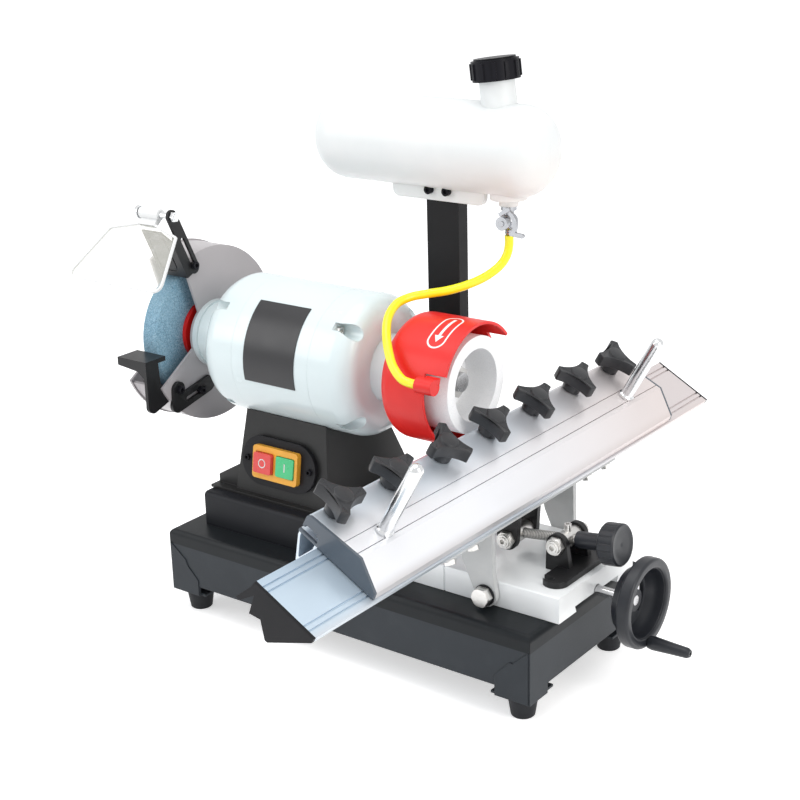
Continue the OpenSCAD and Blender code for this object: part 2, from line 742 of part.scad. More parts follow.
module shield_frame() {
    color([0.92, 0.92, 0.92]) on_shield() difference() {
        union() {
            rod_x(6, -14, 14, 0, 0);
            box(-12, 12, -6.6, -1, 2, 13.6);
            // Wire round the edge of the pane
            along_y(-4.8, -2.4) for (side = [-1, 1]) for (i = [0:len(shield_side) - 2])
                slot(side * shield_side[i][0], shield_side[i][1], side * shield_side[i + 1][0], shield_side[i + 1][1], 1.2);
        }
        rod_x(rod_r + run_fit, -15, 15, 0, 0);
        box(-10, 10, -4.6, -2.6, 7, 16);
    }
}
module shield_pane() {
    color([0.85, 0.92, 0.95, 0.4]) on_shield() along_y(-4.4, -2.8)
        polygon([[-9.6, 8], [-9.6, 14], [-47.4, 24.6], [-64.6, 80], [-64.8, 84], [-63.6, 87], [-60.6, 88.9],
            [60.6, 88.9], [63.6, 87], [64.8, 84], [64.6, 80], [47.4, 24.6], [9.6, 14], [9.6, 8]]);
}

// ---------- tool rest ----------
rest_gap = 2.5;
rest_back_y = spindle_y - wheel_d / 2 - rest_gap;
rest_top_z = spindle_z - 8;
rest_slope = 19;
rest_pin_y = spindle_y - 67;
rest_pin_z = spindle_z - 48;
bracket_pin_y = spindle_y - 34;
bracket_pin_z = spindle_z - 58;
module rest_bracket() {
    color([0.12, 0.12, 0.13]) along_x(arm_x, arm_x + 4) difference() {
        union() {
            slot(spindle_y - 20, bracket_pin_z + 4, spindle_y - 70, bracket_pin_z - 7, 9);
            slot(spindle_y - 68, bracket_pin_z - 6.6, rest_pin_y, rest_pin_z, 8.6);
        }
        slot(bracket_pin_y + 5.2, bracket_pin_z + 1, bracket_pin_y - 20.8, bracket_pin_z - 4, 2.7);
        translate([rest_pin_y, rest_pin_z]) circle(2.7);
    }
}
module tool_rest() {
    x0 = guard_x1 - guard_t - 4 - seat;
    x1 = x0 + 4;
    color([0.1, 0.1, 0.11]) {
        along_x(x0, x1) difference() {
            union() {
                translate([rest_pin_y, rest_pin_z]) rotate(rest_slope) slot(-34, 0, 20, 0, 8.5);
                polygon([[rest_back_y - 30, rest_top_z], [rest_back_y - 12, rest_top_z],
                    [rest_back_y - 8, rest_pin_z - 8], [rest_back_y - 30, rest_pin_z - 14]]);
            }
            translate([rest_pin_y, rest_pin_z]) rotate(rest_slope) slot(-3, 0, 13, 0, 2.6);
        }
        box(wheel_x - 8, x1, rest_back_y - 30, rest_back_y, rest_top_z - 5, rest_top_z);
        along_y(rest_back_y - 30, rest_back_y - 26) polygon([[wheel_x - 8, rest_top_z - 4],
            [x1 - 1, rest_top_z - 4], [x1 - 1, rest_top_z - 22], [x1 - 14, rest_top_z - 12], [wheel_x - 8, rest_top_z - 9]]);
    }
}

// ---------- cup wheel and guard ----------
module cup_guard() {
    r = cup_guard_r;
    t = cup_guard_t;
    round = 14;
    color([0.85, 0.1, 0.1]) difference() {
        translate([0, spindle_y, spindle_z]) rotate([0, 90, 0]) rotate_extrude() difference() {
            union() {
                translate([0, cup_guard_x0 + round]) square([r, cup_guard_top - cup_guard_x0 - round]);
                translate([0, cup_guard_x0]) square([r - round, round + 1]);
                translate([r - round, cup_guard_x0 + round]) circle(round);
                translate([0, bell_x1 + seat]) square([34, cup_guard_x0 - bell_x1]);
            }
            translate([0, cup_guard_x0 + round]) square([r - t, cup_guard_top]);
            translate([0, cup_guard_x0 + t]) square([r - round, round + 1]);
            translate([r - round, cup_guard_x0 + round]) circle(round - t);
            translate([-1, bell_x1 - 1]) square([28.3, 40]);
            translate([-200, -200]) square([200, 500]);
        }
        // The lower front of the skirt is cut back to bare the wheel
        translate([0, spindle_y, spindle_z]) along_x(cup_guard_low, cup_guard_top + 1) sector(r + 30, 157, 400);
        for (a = bolt_angles) on_spindle(a) rod_x(1.6, bell_x1 - 1, cup_guard_x0 + 9, 30.5, 0);
    }
}
module water_nozzle() {
    color([0.85, 0.1, 0.1]) difference() {
        union() {
            rod_x(8, nozzle_x, nozzle_x + 20, nozzle_y, nozzle_z);
            intersection() {
                box(nozzle_x + 1, nozzle_x + 16, nozzle_y, nozzle_y + 22, nozzle_z - 5, nozzle_z + 5);
                difference() {
                    rod_x(cup_guard_r + 14, nozzle_x - 9, nozzle_x + 30, spindle_y, spindle_z);
                    rod_x(cup_guard_r + 0.05, nozzle_x - 10, nozzle_x + 31, spindle_y, spindle_z);
                }
            }
        }
        rod_x(2.5, nozzle_x - 1, nozzle_x + 17, nozzle_y, nozzle_z);
        // Outlet that turns in towards the wheel face
        translate([nozzle_x + 15, nozzle_y, nozzle_z]) rotate([-75, 0, -30]) cylinder(r = 2, h = 20);
    }
}
module cup_wheel() {
    color([0.95, 0.95, 0.95]) difference() {
        rod_x(cup_d / 2, cup_x0, cup_x, spindle_y, spindle_z);
        rod_x(cup_d / 2 - cup_rim, cup_x0 + cup_back, cup_x + 1, spindle_y, spindle_z);
        rod_x(shaft_r, cup_x0 - 1, cup_x + 1, spindle_y, spindle_z);
    }
}

// ---------- tank, valve and hose ----------
module tank_post() {
    x0 = post_x - post_w / 2;
    x1 = post_x + post_w / 2;
    color([0.1, 0.1, 0.11]) difference() {
        union() {
            box(x0, x1, post_y, post_y + post_d, base_top, post_top);
            box(x0, x1, post_y, base_d / 2 - fold_r, base_top, base_top + stand_t);
        }
        box(x0 + post_t, x1 - post_t, post_y + post_t, post_y + post_d + 1, base_top + stand_t, post_top + 1);
        for (p = top_holes) translate([p[0], p[1], base_top - 1]) cylinder(r = 2.7, h = 9);
        for (x = [post_x - 11, post_x + 11]) {
            rod_y(2.7, post_y - 9, post_y + 9, x, post_top - 5);
        }
    }
}
// Half outline of a drum with round ends, as [radius, length]
module drum_outline(r, l, round) {
    translate([0, round]) square([r, l - 2 * round]);
    square([r - round, l]);
    intersection() {
        for (x = [round, l - round]) translate([r - round, x]) circle(round);
        square([r, l]);
    }
}
module tank_drum(shrink) {
    translate([tank_x - tank_l / 2 + shrink, 0, 0]) turned_x(tank_y, tank_z)
        drum_outline(tank_r - shrink, tank_l - 2 * shrink, 34 - shrink);
}
module water_tank() {
    pocket_x0 = post_x - post_w / 2 - seat;
    pocket_x1 = post_x + post_w / 2 + seat;
    pocket_y1 = post_y + post_d + seat;
    color([0.93, 0.95, 0.95]) difference() {
        union() {
            difference() {
                tank_drum(0);
                tank_drum(tank_t);
            }
            // Walls round the pocket that takes the post
            intersection() {
                box(pocket_x0 - 3, pocket_x1 + 3, post_y - 6, pocket_y1 + 3, tank_z - tank_r - 2, post_top + 4);
                tank_drum(0);
            }
            difference() {
                translate([valve_x, tank_y, tank_z - tank_r - 3]) cylinder(r = 19, h = 22);
                tank_drum(1);
            }
            translate([valve_x, tank_y, valve_top + seat]) cylinder(r = 10, h = 9);
            // Neck under the filler cap
            on_neck() difference() {
                cylinder(r = cap_d / 2 - 6, h = neck_h);
                translate([0, 0, -40]) cylinder(r = cap_d / 2 - 9, h = 90);
            }
            // Foot flange screwed to the post
            along_y(post_y - 6, post_y - seat) difference() {
                soft_rect(post_x - 59, tank_z - tank_r - 12, post_x + 56, tank_z - tank_r + 12, 8);
                translate([post_x - 80, tank_z - tank_r + 4]) square([160, 20]);
            }
        }
        box(pocket_x0, pocket_x1, post_y - seat, pocket_y1, 0, post_top + 0.3);
        translate([valve_x, tank_y, tank_z - tank_r]) cylinder(r = 16, h = 24);
        translate([valve_x, tank_y, valve_top - 1]) cylinder(r = 4, h = 24);
        on_neck() translate([0, 0, -12]) cylinder(r = cap_d / 2 - 9, h = 24);
        for (x = [post_x - 11, post_x + 11]) {
            rod_y(2.7, post_y - 9, post_y + 2, x, post_top - 5);
            rod_y(4.8, post_y - 30, post_y - 6, x, post_top - 5);
        }
    }
}
module on_neck() {
    translate([neck_x, tank_y, tank_z + tank_r - 8]) rotate([0, neck_tilt, 0]) children();
}
module tank_cap() {
    color([0.1, 0.1, 0.11]) on_neck() translate([0, 0, neck_h - 12]) difference() {
        union() {
            cylinder(r = cap_d / 2, h = 20);
            for (i = [0:11]) rotate(i * 30) translate([cap_d / 2 - 0.6, -2, 2]) cube([2, 4, 16]);
            cylinder(r = cap_d / 2 - 3, h = 22);
        }
        translate([0, 0, -1]) cylinder(r = cap_d / 2 - 6 + 0.3, h = 13.3);
    }
}
module valve_body() {
    color([0.8, 0.8, 0.8]) difference() {
        translate([valve_x, tank_y, 0]) rotate_extrude() difference() {
            union() {
                polygon([[2, valve_z - 14], [3.2, valve_z - 14], [4.4, valve_z - 11], [3.4, valve_z - 11],
                    [4.4, valve_z - 8], [5.5, valve_z - 7], [5.5, valve_top - 4], [8, valve_top - 4],
                    [8, valve_top], [4, valve_top], [4, valve_top + 8], [2, valve_top + 8]]);
                intersection() {
                    translate([0, valve_z]) circle(9.5);
                    translate([2, valve_z - 12]) square([20, 24]);
                }
            }
            square([2, 900]);
        }
        rod_y(3 + run_fit, tank_y - 13, tank_y - 3, valve_x, valve_z);
    }
}
module valve_lever() {
    color([0.82, 0.82, 0.82]) {
        rod_y(3, tank_y - 15, tank_y - 3.2, valve_x, valve_z);
        along_y(tank_y - 14, tank_y - 11) {
            translate([valve_x, valve_z]) circle(7);
            translate([valve_x + 2, valve_z]) difference() {
                intersection() {
                    circle(16);
                    sector(30, -45, 60);
                }
                circle(11.5);
            }
            translate([valve_x - 2, valve_z + 7]) rotate(30) square([14, 4]);
            slot(valve_x + 11, valve_z - 9, valve_x + 24, valve_z - 10, 2.2);
        }
    }
}
// A round tube swept along a list of points, as one polyhedron
function unit(v) = v / norm(v);
function tangent(p, i) = unit(p[min(i + 1, len(p) - 1)] - p[max(i - 1, 0)]);
// One point of a curve through p0..p3, between p1 and p2
function spline(p0, p1, p2, p3, t) = 0.5 * (2 * p1 + (p2 - p0) * t
    + (2 * p0 - 5 * p1 + 4 * p2 - p3) * t * t + (3 * p1 - p0 - 3 * p2 + p3) * t * t * t);
function smooth(p, n) = concat([for (i = [0:len(p) - 2]) for (j = [0:n - 1])
    spline(p[max(i - 1, 0)], p[i], p[i + 1], p[min(i + 2, len(p) - 1)], j / n)], [p[len(p) - 1]]);
function tube_ring(c, d, r, sides, up) = let (a = unit(cross(d, up)), b = cross(d, a))
    [for (k = [0:sides - 1]) c + r * (a * cos(360 * k / sides) + b * sin(360 * k / sides))];
module tube(path, r, sides) {
    up = [0.31, 0.83, 0.46];
    n = len(path);
    rings = [for (i = [0:n - 1]) each tube_ring(path[i], tangent(path, i), r, sides, up)];
    faces = concat(
        [[for (k = [0:sides - 1]) k]],
        [for (i = [0:n - 2]) for (k = [0:sides - 1]) let (a = i * sides, k2 = (k + 1) % sides)
            [a + k, a + sides + k, a + sides + k2, a + k2]],
        [[for (k = [sides - 1:-1:0]) (n - 1) * sides + k]]);
    polyhedron(points = rings, faces = faces, convexity = 6);
}
module water_hose() {
    color([1, 0.8, 0.15]) tube(smooth(hose_points, 2), hose_d / 2, 10);
}

// ---------- feed table ----------
module dovetail_bed() {
    color([0.3, 0.31, 0.33]) along_x(bed_x0, bed_x1) difference() {
        translate([mid_y, base_top]) polygon([[-bed_w / 2 + dovetail, 0], [bed_w / 2 - dovetail, 0],
            [bed_w / 2, bed_h], [-bed_w / 2, bed_h]]);
        translate([mid_y - 13, base_top + 1.4]) square([26, bed_h]);
    }
    // End plates that carry the screw
    color([0.3, 0.31, 0.33]) for (x = [bed_x0, bed_x1 - 8]) difference() {
        box(x, x + 8, mid_y - 13, mid_y + 13, base_top + 1, bed_top);
        rod_x(screw_r + run_fit, x - 1, x + 9, mid_y, screw_z);
    }
}
module saddle() {
    half = saddle_w / 2;
    gap = slide_gap;
    color([0.93, 0.94, 0.94]) difference() {
        union() {
            along_x(saddle_x0, saddle_x) translate([mid_y, base_top]) polygon([
                [-half, gap], [-bed_w / 2 + dovetail - gap, gap], [-bed_w / 2 - gap, bed_h + gap],
                [bed_w / 2 + gap, bed_h + gap], [bed_w / 2 - dovetail + gap, gap], [half, gap],
                [half, saddle_h - 1], [half - 1, saddle_h], [-half + 1, saddle_h], [-half, saddle_h - 1]]);
            // Nut block round the screw
            box(120, 150, mid_y - 12.4, mid_y + 12.4, base_top + 1.8, bed_top + 2);
            // Cover plate over the right end of the channel
            box(saddle_x - 8, saddle_x, mid_y - bed_w / 2, mid_y + bed_w / 2, base_top + 7, bed_top + 2);
        }
        rod_x(screw_r + run_fit, 100, 151, mid_y, screw_z);
        rod_x(screw_r + 1, saddle_x - 9, saddle_x + 1, mid_y, screw_z);
        for (y = [mid_y - half, mid_y + half - 22]) rod_y(5, y - 1, y + 23, pivot_x, pivot_z);
        for (y = [fork_y0 + 9, fork_y1 - 12]) translate([bolt_x, y, saddle_top - 9]) cylinder(r = 3, h = 10);
        // Joint line between the table and its end block
        difference() {
            box(108, 110, -300, 300, base_top - 1, saddle_top + 1);
            along_x(100, 120) translate([mid_y - half + 1, 0]) square([saddle_w - 2, saddle_top - 1]);
        }
    }
}
module leadscrew() {
    color([0.75, 0.76, 0.78]) {
        rod_x(screw_r, bed_x0 + 1, wheel_hub_x + 18, mid_y, screw_z);
        // Thrust collars between the end plates
        for (x = [bed_x0 + 8 + seat, bed_x1 - 13 - seat]) difference() {
            rod_x(screw_r + 1.2, x, x + 5, mid_y, screw_z);
            rod_x(screw_r, x - 1, x + 6, mid_y, screw_z);
        }
    }
}
module handwheel() {
    r = handwheel_d / 2;
    hub = 9;
    color([0.12, 0.12, 0.13]) difference() {
        translate([handwheel_x, 0, 0]) turned_x(mid_y, screw_z) difference() {
            union() {
                // Rim with soft edges
                soft_rect(r - 10, -7, r, 7, 3);
                polygon([[r - 10.5, 4], [r - 12, -5], [r - 16, -14], [hub, -20], [hub, -25.5],
                    [r - 14, -18], [r - 7, -6.8], [r - 7, 4]]);
                translate([0, -26]) square([hub + 2, 18]);
            }
            translate([-99, -50]) square([99, 99]);
        }
        rod_x(screw_r, wheel_hub_x - 1, wheel_hub_x + 19, mid_y, screw_z);
        // Windows in the web
        for (a = [-15, 105, 225]) translate([0, mid_y, screw_z]) along_x(wheel_hub_x - 2, handwheel_x + 9)
            intersection() {
                rotate(a) sector(90, -34, 34);
                difference() {
                    circle(r - 18);
                    circle(hub + 7);
                }
            }
        rod_x(4, handwheel_x - 8, handwheel_x + 9, mid_y, screw_z - crank_r - 5);
    }
}
module crank_handle() {
    color([0.1, 0.1, 0.11]) difference() {
        translate([handwheel_x, 0, 0]) turned_x(mid_y, screw_z - crank_r - 5) difference() {
            union() {
                translate([0, -6]) square([4 - run_fit, 14]);
                polygon([[0, 7.4], [6.2, 7.4], [7, 12], [6, 30], [5.2, 48], [3.6, 51], [0, 51]]);
            }
            translate([-99, -50]) square([99, 199]);
        }
        rod_x(1.6, handwheel_x + 47, handwheel_x + 60, mid_y, screw_z - crank_r - 5);
    }
}

// ---------- tilting cradle and rail ----------
module ear_outline() {
    polygon([[131, rail_z - 20.5], [170, rail_z - 9.5], [171, rail_z - 55], [pivot_x + 12.3, pivot_z + 2],
        [pivot_x - 12.3, pivot_z + 1], [136, rail_z - 46]]);
    translate([pivot_x, pivot_z]) circle(12.4);
}
module rail_cradle() {
    y0 = cradle_y0 - ear_t;
    y1 = cradle_y1 + ear_t;
    color([0.78, 0.79, 0.78]) difference() {
        union() {
            // Plate under the right bevel of the rail
            on_rail() along_y(-156, 156) polygon([[-1.5, -13.5], [-32.5, -44.5], [-36, -41], [-5, -10]]);
            for (y = [y0, cradle_y1]) along_y(y, y + ear_t) ear_outline();
            // Black bracket that carries the upper pin
            for (y = [mid_y - cheek_gap / 2 - cheek_t, mid_y + cheek_gap / 2]) along_y(y, y + cheek_t) {
                polygon([[upper_x - 13, rail_z - 16], [upper_x + 14, rail_z - 9], [upper_x + 11.5, upper_z],
                    [upper_x - 11.5, upper_z]]);
                translate([upper_x, upper_z]) circle(11.5);
            }
        }
        rod_y(6 + run_fit, y0 - 1, y0 + ear_t + 1, pivot_x, pivot_z);
        rod_y(6 + run_fit, cradle_y1 - 1, y1 + 1, pivot_x, pivot_z);
        rod_y(5 + run_fit, mid_y - 30, mid_y + 30, upper_x, upper_z);
        on_cradle_bolts() cylinder(r = 3.2, h = 30, center = true);
    }
}
module on_cradle_bolts() {
    on_rail() for (y = [-144, -106, 106, 144]) translate([-9, y, -14]) rotate([0, -45, 0]) children();
}
module rail_bolts() {
    color([0.1, 0.1, 0.11]) on_cradle_bolts() {
        translate([0, 0, -10.2]) difference() {
            hex(10, 5);
            translate([0, 0, -1]) cylinder(r = 2, h = 3);
        }
        translate([0, 0, -5.3]) cylinder(r = 3, h = 10.3);
    }
}
module pivot_bolts() {
    color([0.78, 0.77, 0.74]) for (side = [-1, 1]) translate([pivot_x, mid_y + side * saddle_w / 2, pivot_z])
        rotate([side * -90, 0, 0]) {
            translate([0, 0, -20]) cylinder(r = 5, h = 20);
            cylinder(r = 6, h = ear_t + 1.4);
            translate([0, 0, ear_t + 1.4]) cylinder(r = 11, h = 2);
            translate([0, 0, ear_t + 3.4]) intersection() {
                hex(18, 8);
                cylinder(r1 = 12.5, r2 = 9.4, h = 8);
            }
        }
}
module rail_outline() {
    polygon([[0, 0], [0, -5], [-4, -9], [-36, -41], [-39, -41], [-51, -27], [-63, -31], [-66, -12],
        [-77, -28.5], [-81, -27], [-72, -6.5], [-rail_w, 0]]);
}
module rail_hollows(shrink) {
    polygon([[-5.5 - shrink, -4.5 - shrink], [-34 + shrink, -4.5 - shrink], [-34 + shrink, -33.5 + 2.4 * shrink]]);
    polygon([[-37.5 - shrink, -4.5 - shrink], [-61.5 + shrink, -4.5 - shrink], [-60 + shrink, -26 + shrink],
        [-51.5, -23.5 + shrink], [-38.5 - shrink, -36.5 + 2.4 * shrink]]);
}
module lower_rail() {
    color([0.8, 0.81, 0.83]) on_rail() difference() {
        along_y(-rail_l / 2, rail_l / 2) difference() {
            rail_outline();
            rail_hollows(0);
            for (u = [-8, -14, -57, -63]) translate([u - 1, -1.5]) square([2, 3]);
        }
        for (y = [-144, -106, 106, 144]) translate([-9, y, -14]) rotate([0, -45, 0])
            translate([0, 0, -1]) cylinder(r = 3.2, h = 9);
    }
}
module rail_caps() {
    color([0.08, 0.08, 0.09]) on_rail() {
        for (y = [-rail_l / 2 - 3, rail_l / 2]) along_y(y, y + 3) rail_outline();
        for (y = [-rail_l / 2 - 1, rail_l / 2 - 9]) along_y(y, y + 10) rail_hollows(seat);
    }
}

// ---------- tilt adjuster ----------
fork_y0 = mid_y - 57;
fork_y1 = mid_y + 57;
bolt_x = 217;
module fork_bracket() {
    color([0.1, 0.1, 0.11]) difference() {
        union() {
            translate([0, 0, saddle_top]) linear_extrude(6) difference() {
                union() {
                    slot(221, fork_y0 + 13, 221, fork_y1 - 13, 13);
                    soft_rect(187, mid_y - 9, 225, mid_y + 9, 4);
                    translate([195, mid_y - 21]) square([30, 42]);
                }
                for (y = [fork_y0 + 9, fork_y1 - 12]) slot(bolt_x - 20, y, bolt_x, y, 3.6);
            }
            for (y = [mid_y - cheek_gap / 2 - cheek_t, mid_y + cheek_gap / 2]) along_y(y, y + cheek_t) {
                polygon([[lower_x - 12, saddle_top + 5], [lower_x + 15, saddle_top + 5],
                    [lower_x + 11.4, lower_z], [lower_x - 11.4, lower_z]]);
                translate([lower_x, lower_z]) circle(11.5);
            }
        }
        rod_y(5 + run_fit, mid_y - 30, mid_y + 30, lower_x, lower_z);
    }
}
// A swivel block with a cross pin and a locking nut on each side
module trunnion(x, z, bore) {
    side = cheek_gap / 2 - 0.3;
    out = cheek_gap / 2 + cheek_t + 0.3;
    difference() {
        union() {
            rod_y(9, mid_y - side, mid_y + side, x, z);
            rod_y(5, mid_y - out - 9, mid_y + out + 9, x, z);
            for (s = [-1, 1]) translate([x, mid_y + s * out, z]) rotate([-90 * s, 0, 0]) {
                intersection() {
                    hex(17, 5.5);
                    cylinder(r1 = 10.4, r2 = 8.4, h = 5.5);
                }
                cylinder(r = 7, h = 8);
            }
        }
        translate([x, mid_y, z]) rotate([0, 90 - adjuster_a, 0]) cylinder(r = bore, h = 60, center = true);
        for (s = [-1, 1]) translate([x, mid_y + s * (out + 6), z]) rotate([-90 * s, 0, 0]) cylinder(r = 2.4, h = 5);
    }
}
module lower_trunnion() {
    color([0.72, 0.71, 0.68]) {
        trunnion(lower_x, lower_z, adjuster_r + run_fit);
        // Set screw on top
        translate([lower_x, mid_y, lower_z + 8.4]) difference() {
            cylinder(r = 3.8, h = 7);
            translate([0, 0, 4]) cylinder(r = 1.8, h = 4);
        }
    }
}
module upper_trunnion() {
    color([0.72, 0.71, 0.68]) trunnion(upper_x, upper_z, adjuster_r + 0.4);
}
module adjuster_screw() {
    color([0.66, 0.67, 0.68]) on_adjuster() rod_x(adjuster_r, -19, 101, 0, 0);
    color([0.08, 0.08, 0.09]) on_adjuster() difference() {
        union() {
            rod_x(8.5, 70, 101, 0, 0);
            translate([101, 0, 0]) turned_x(0, 0) difference() {
                polygon([[-1, 0], [19.5, 0], [21, 1.5], [21, 17], [19.5, 18.5], [15, 17.5], [-1, 16.6]]);
                translate([-9, -9]) square([9, 99]);
            }
        }
        rod_x(adjuster_r, 60, 101, 0, 0);
        for (i = [0:17]) rotate([i * 20, 0, 0]) rod_x(1.2, 103, 117, 21.6, 0);
    }
}

// ---------- carriage ----------
module carriage_outline() {
    polygon([[-93, 20], [-90, wing_top], [-30, carriage_top], [-3, 7], [-2, 0.4], [-71.8, 0.4],
        [-72.6, -6.6], [-81.6, -27.4], [-77, -29], [-75, -26.5], [-72, -28], [-75.5, -33], [-85, -31.5],
        [-94.5, -5], [-94.5, jaw_top], [-73, jaw_top], [-73, wing_low], [-76, wing_low], [-76, 12],
        [-90, 12], [-90, wing_low], [-93, wing_low]]);
}
module carriage_hollows(shrink) {
    k = shrink;
    polygon([[-69 + k, 3.6 + k], [-50 - k, 3.6 + k], [-50 - k, 21.4 - k], [-69 + k, 20.4 - k]]);
    polygon([[-47 + k, 3.6 + k], [-31 - k, 3.6 + k], [-31 - k, 22.4 - k], [-47 + k, 21.6 - k]]);
    polygon([[-28 + k, 3.6 + k], [-8 - 2 * k, 3.6 + k], [-28 + k, 20.6 - 2 * k]]);
    polygon([[-92 + k, 1 - k], [-75.4 - k, 1 - k], [-75.4 - k, -6.6], [-83.4 - k, -24], [-84.8, -24.5 + k],
        [-92 + k, -5]]);
}
module on_carriage() {
    on_rail() translate([0, row_y, 0]) children();
}
module carriage() {
    half = carriage_l / 2;
    color([0.8, 0.81, 0.84]) on_carriage() difference() {
        along_y(-half + 6.5, half + 6.5) difference() {
            carriage_outline();
            carriage_hollows(0);
            for (u = [-36, -52]) translate([u, 21.8]) square([0.8, 9]);
        }
        for (i = [0:knobs - 1]) translate([knob_u, (i - (knobs - 1) / 2) * knob_pitch, 8]) cylinder(r = 3 + run_fit, h = 20);
        for (y = [-handle_y, handle_y]) translate([handle_u, y, 16]) cylinder(r = 4, h = 20);
    }
}
handle_y = 216;
module carriage_caps() {
    half = carriage_l / 2;
    color([0.08, 0.08, 0.09]) on_carriage() {
        for (y = [-half + 3.5, half + 6.5]) along_y(y, y + 3) intersection() {
            carriage_outline();
            translate([-120, 1]) square([120, 60]);
        }
        for (y = [-half + 3.6, half - 3.4]) along_y(y, y + 10) intersection() {
            carriage_hollows(seat);
            translate([-72, 1]) square([72, 60]);
        }
    }
}
module chrome_handles() {
    r = handle_d / 2;
    color([0.85, 0.86, 0.88]) on_carriage() for (y = [-handle_y, handle_y]) translate([handle_u, y, 0]) {
        translate([0, 0, carriage_top - 0.2]) rotate_extrude() difference() {
            union() {
                polygon([[0, 0], [r + 1.5, 0], [r + 1.5, 2.5], [r, 4], [r, handle_l - r], [0, handle_l - r]]);
                translate([0, handle_l - r]) circle(r);
            }
            translate([-99, -9]) square([99, 199]);
        }
        translate([0, 0, 16]) cylinder(r = 4, h = carriage_top - 16);
    }
}
module clamp_bar() {
    half = carriage_l / 2 - 8;
    color([0.66, 0.67, 0.69]) on_carriage() along_y(-half + 6.5, half + 6.5)
        soft_rect(-89.7, 9.1, -76.3, 11.7, 0.6);
}
// A three-lobed grip, seen from above
module lobed_grip() {
    difference() {
        circle(24.4);
        for (i = [0:2]) rotate(60 + i * 120) translate([48.6, 0]) circle(37.6);
    }
}
module clamp_knob(i) {
    color([0.12, 0.12, 0.13]) on_carriage() translate([knob_u, (i - (knobs + 1) / 2) * knob_pitch, 0]) {
        translate([0, 0, 23.9]) cylinder(r = 10, h = 9.3);
        rotate(knob_angles[i - 1]) {
            translate([0, 0, 33]) linear_extrude(13) lobed_grip();
            translate([0, 0, 46]) cylinder(r1 = 11, r2 = 8.5, h = 1.6);
        }
    }
    color([0.75, 0.76, 0.78]) on_carriage() translate([knob_u, (i - (knobs + 1) / 2) * knob_pitch, 0])
        translate([0, 0, 11.9]) cylinder(r = 3, h = 12.1);
}

// ---------- fasteners fixed to the frame ----------
module cap_screw(r, head, shank) {
    // Head above z = 0, shank below it
    difference() {
        cylinder(r = r * 1.75, h = head);
        translate([0, 0, head - 2.2]) hex(r * 1.7, 3);
    }
    translate([0, 0, -shank]) cylinder(r = r, h = shank);
}
module side_screw(x, y, z, inner) {
    // Screw from the motor side through the right cheek of the guard, with a nut inside
    nut_x = guard_x1 - guard_t - inner - 4.2;
    translate([x, y, z]) rotate([0, 90, 0]) cap_screw(2.5, 4, x - nut_x + 0.8);
    translate([nut_x, y, z]) rotate([0, 90, 0]) difference() {
        hex(8, 4);
        translate([0, 0, -1]) cylinder(r = 2.5, h = 6);
    }
}
module machine_screws() {
    color([0.15, 0.15, 0.16]) {
        for (a = bolt_angles) on_spindle(a) {
            translate([shell_x1 + bell_seat, bell_bolt_r, 0]) rotate([0, 90, 0]) cap_screw(2.6, 5, bell_seat + 8);
            translate([shell_x0 - bell_seat, bell_bolt_r, 0]) rotate([0, -90, 0]) cap_screw(2.6, 5, bell_seat + 8);
            translate([cup_guard_x0 + cup_guard_t, 30.5, 0]) rotate([0, 90, 0]) cap_screw(1.5, 2.4, 16);
        }
        for (a = cover_angles) on_spindle(a) translate([guard_x0, guard_r - 12, 0]) rotate([0, -90, 0])
            cap_screw(2.4, 3, 16);
        side_screw(arm_x + arm_t + seat, arm_y, arm_z, 0);
        side_screw(arm_x + 4 + seat, bracket_pin_y, bracket_pin_z, 0);
        side_screw(arm_x + 4 + seat, rest_pin_y, rest_pin_z, 4 + seat);
        for (x = [-43, 43]) on_switch() translate([x, 0, 5 + seat]) cap_screw(2, 2.6, 12);
        for (x = [post_x - 11, post_x + 11]) {
            translate([x, post_y - 6, post_top - 5]) rotate([90, 0, 0]) cap_screw(2.6, 5, 14);
        }
        for (p = top_holes) translate([p[0], p[1], base_top + stand_t]) cap_screw(2.6, 4, 12);
        for (y = flange_bolt_y) translate([flange_bolt_x, y, riser_top + stand_t])
            cap_screw(3.2, 5, 14);
    }
}

base_box();
rubber_feet();
riser_channel();
motor_stand();
machine_screws();
switch_plate();
switch_frame();
stop_button();
start_button();
motor_shell();
end_bells();
stator();
rotor_shaft();
bearings();
motor_plate();
cable_gland();
wheel_guard();
guard_cover();
grinding_wheel();
wheel_flanges();
spark_deflector();
shield_rod();
shield_frame();
shield_pane();
rest_bracket();
tool_rest();
cup_guard();
water_nozzle();
cup_wheel();
tank_post();
water_tank();
tank_cap();
valve_body();
valve_lever();
water_hose();
dovetail_bed();
saddle();
leadscrew();
handwheel();
crank_handle();
rail_cradle();
rail_bolts();
pivot_bolts();
lower_rail();
rail_caps();
fork_bracket();
lower_trunnion();
upper_trunnion();
adjuster_screw();
carriage();
carriage_caps();
chrome_handles();
clamp_bar();
clamp_knob(1);  // clamp_knob_1
clamp_knob(2);  // clamp_knob_2
clamp_knob(3);  // clamp_knob_3
clamp_knob(4);  // clamp_knob_4
clamp_knob(5);  // clamp_knob_5
clamp_knob(6);  // clamp_knob_6
clamp_knob(7);  // clamp_knob_7
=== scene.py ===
"""Looks of the wet grinding sharpener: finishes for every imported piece, the free water hose,
and the small printed, pressed and worn details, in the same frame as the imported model, in metres."""

import json
import math

import bmesh
import bpy
from mathutils import Matrix, Vector

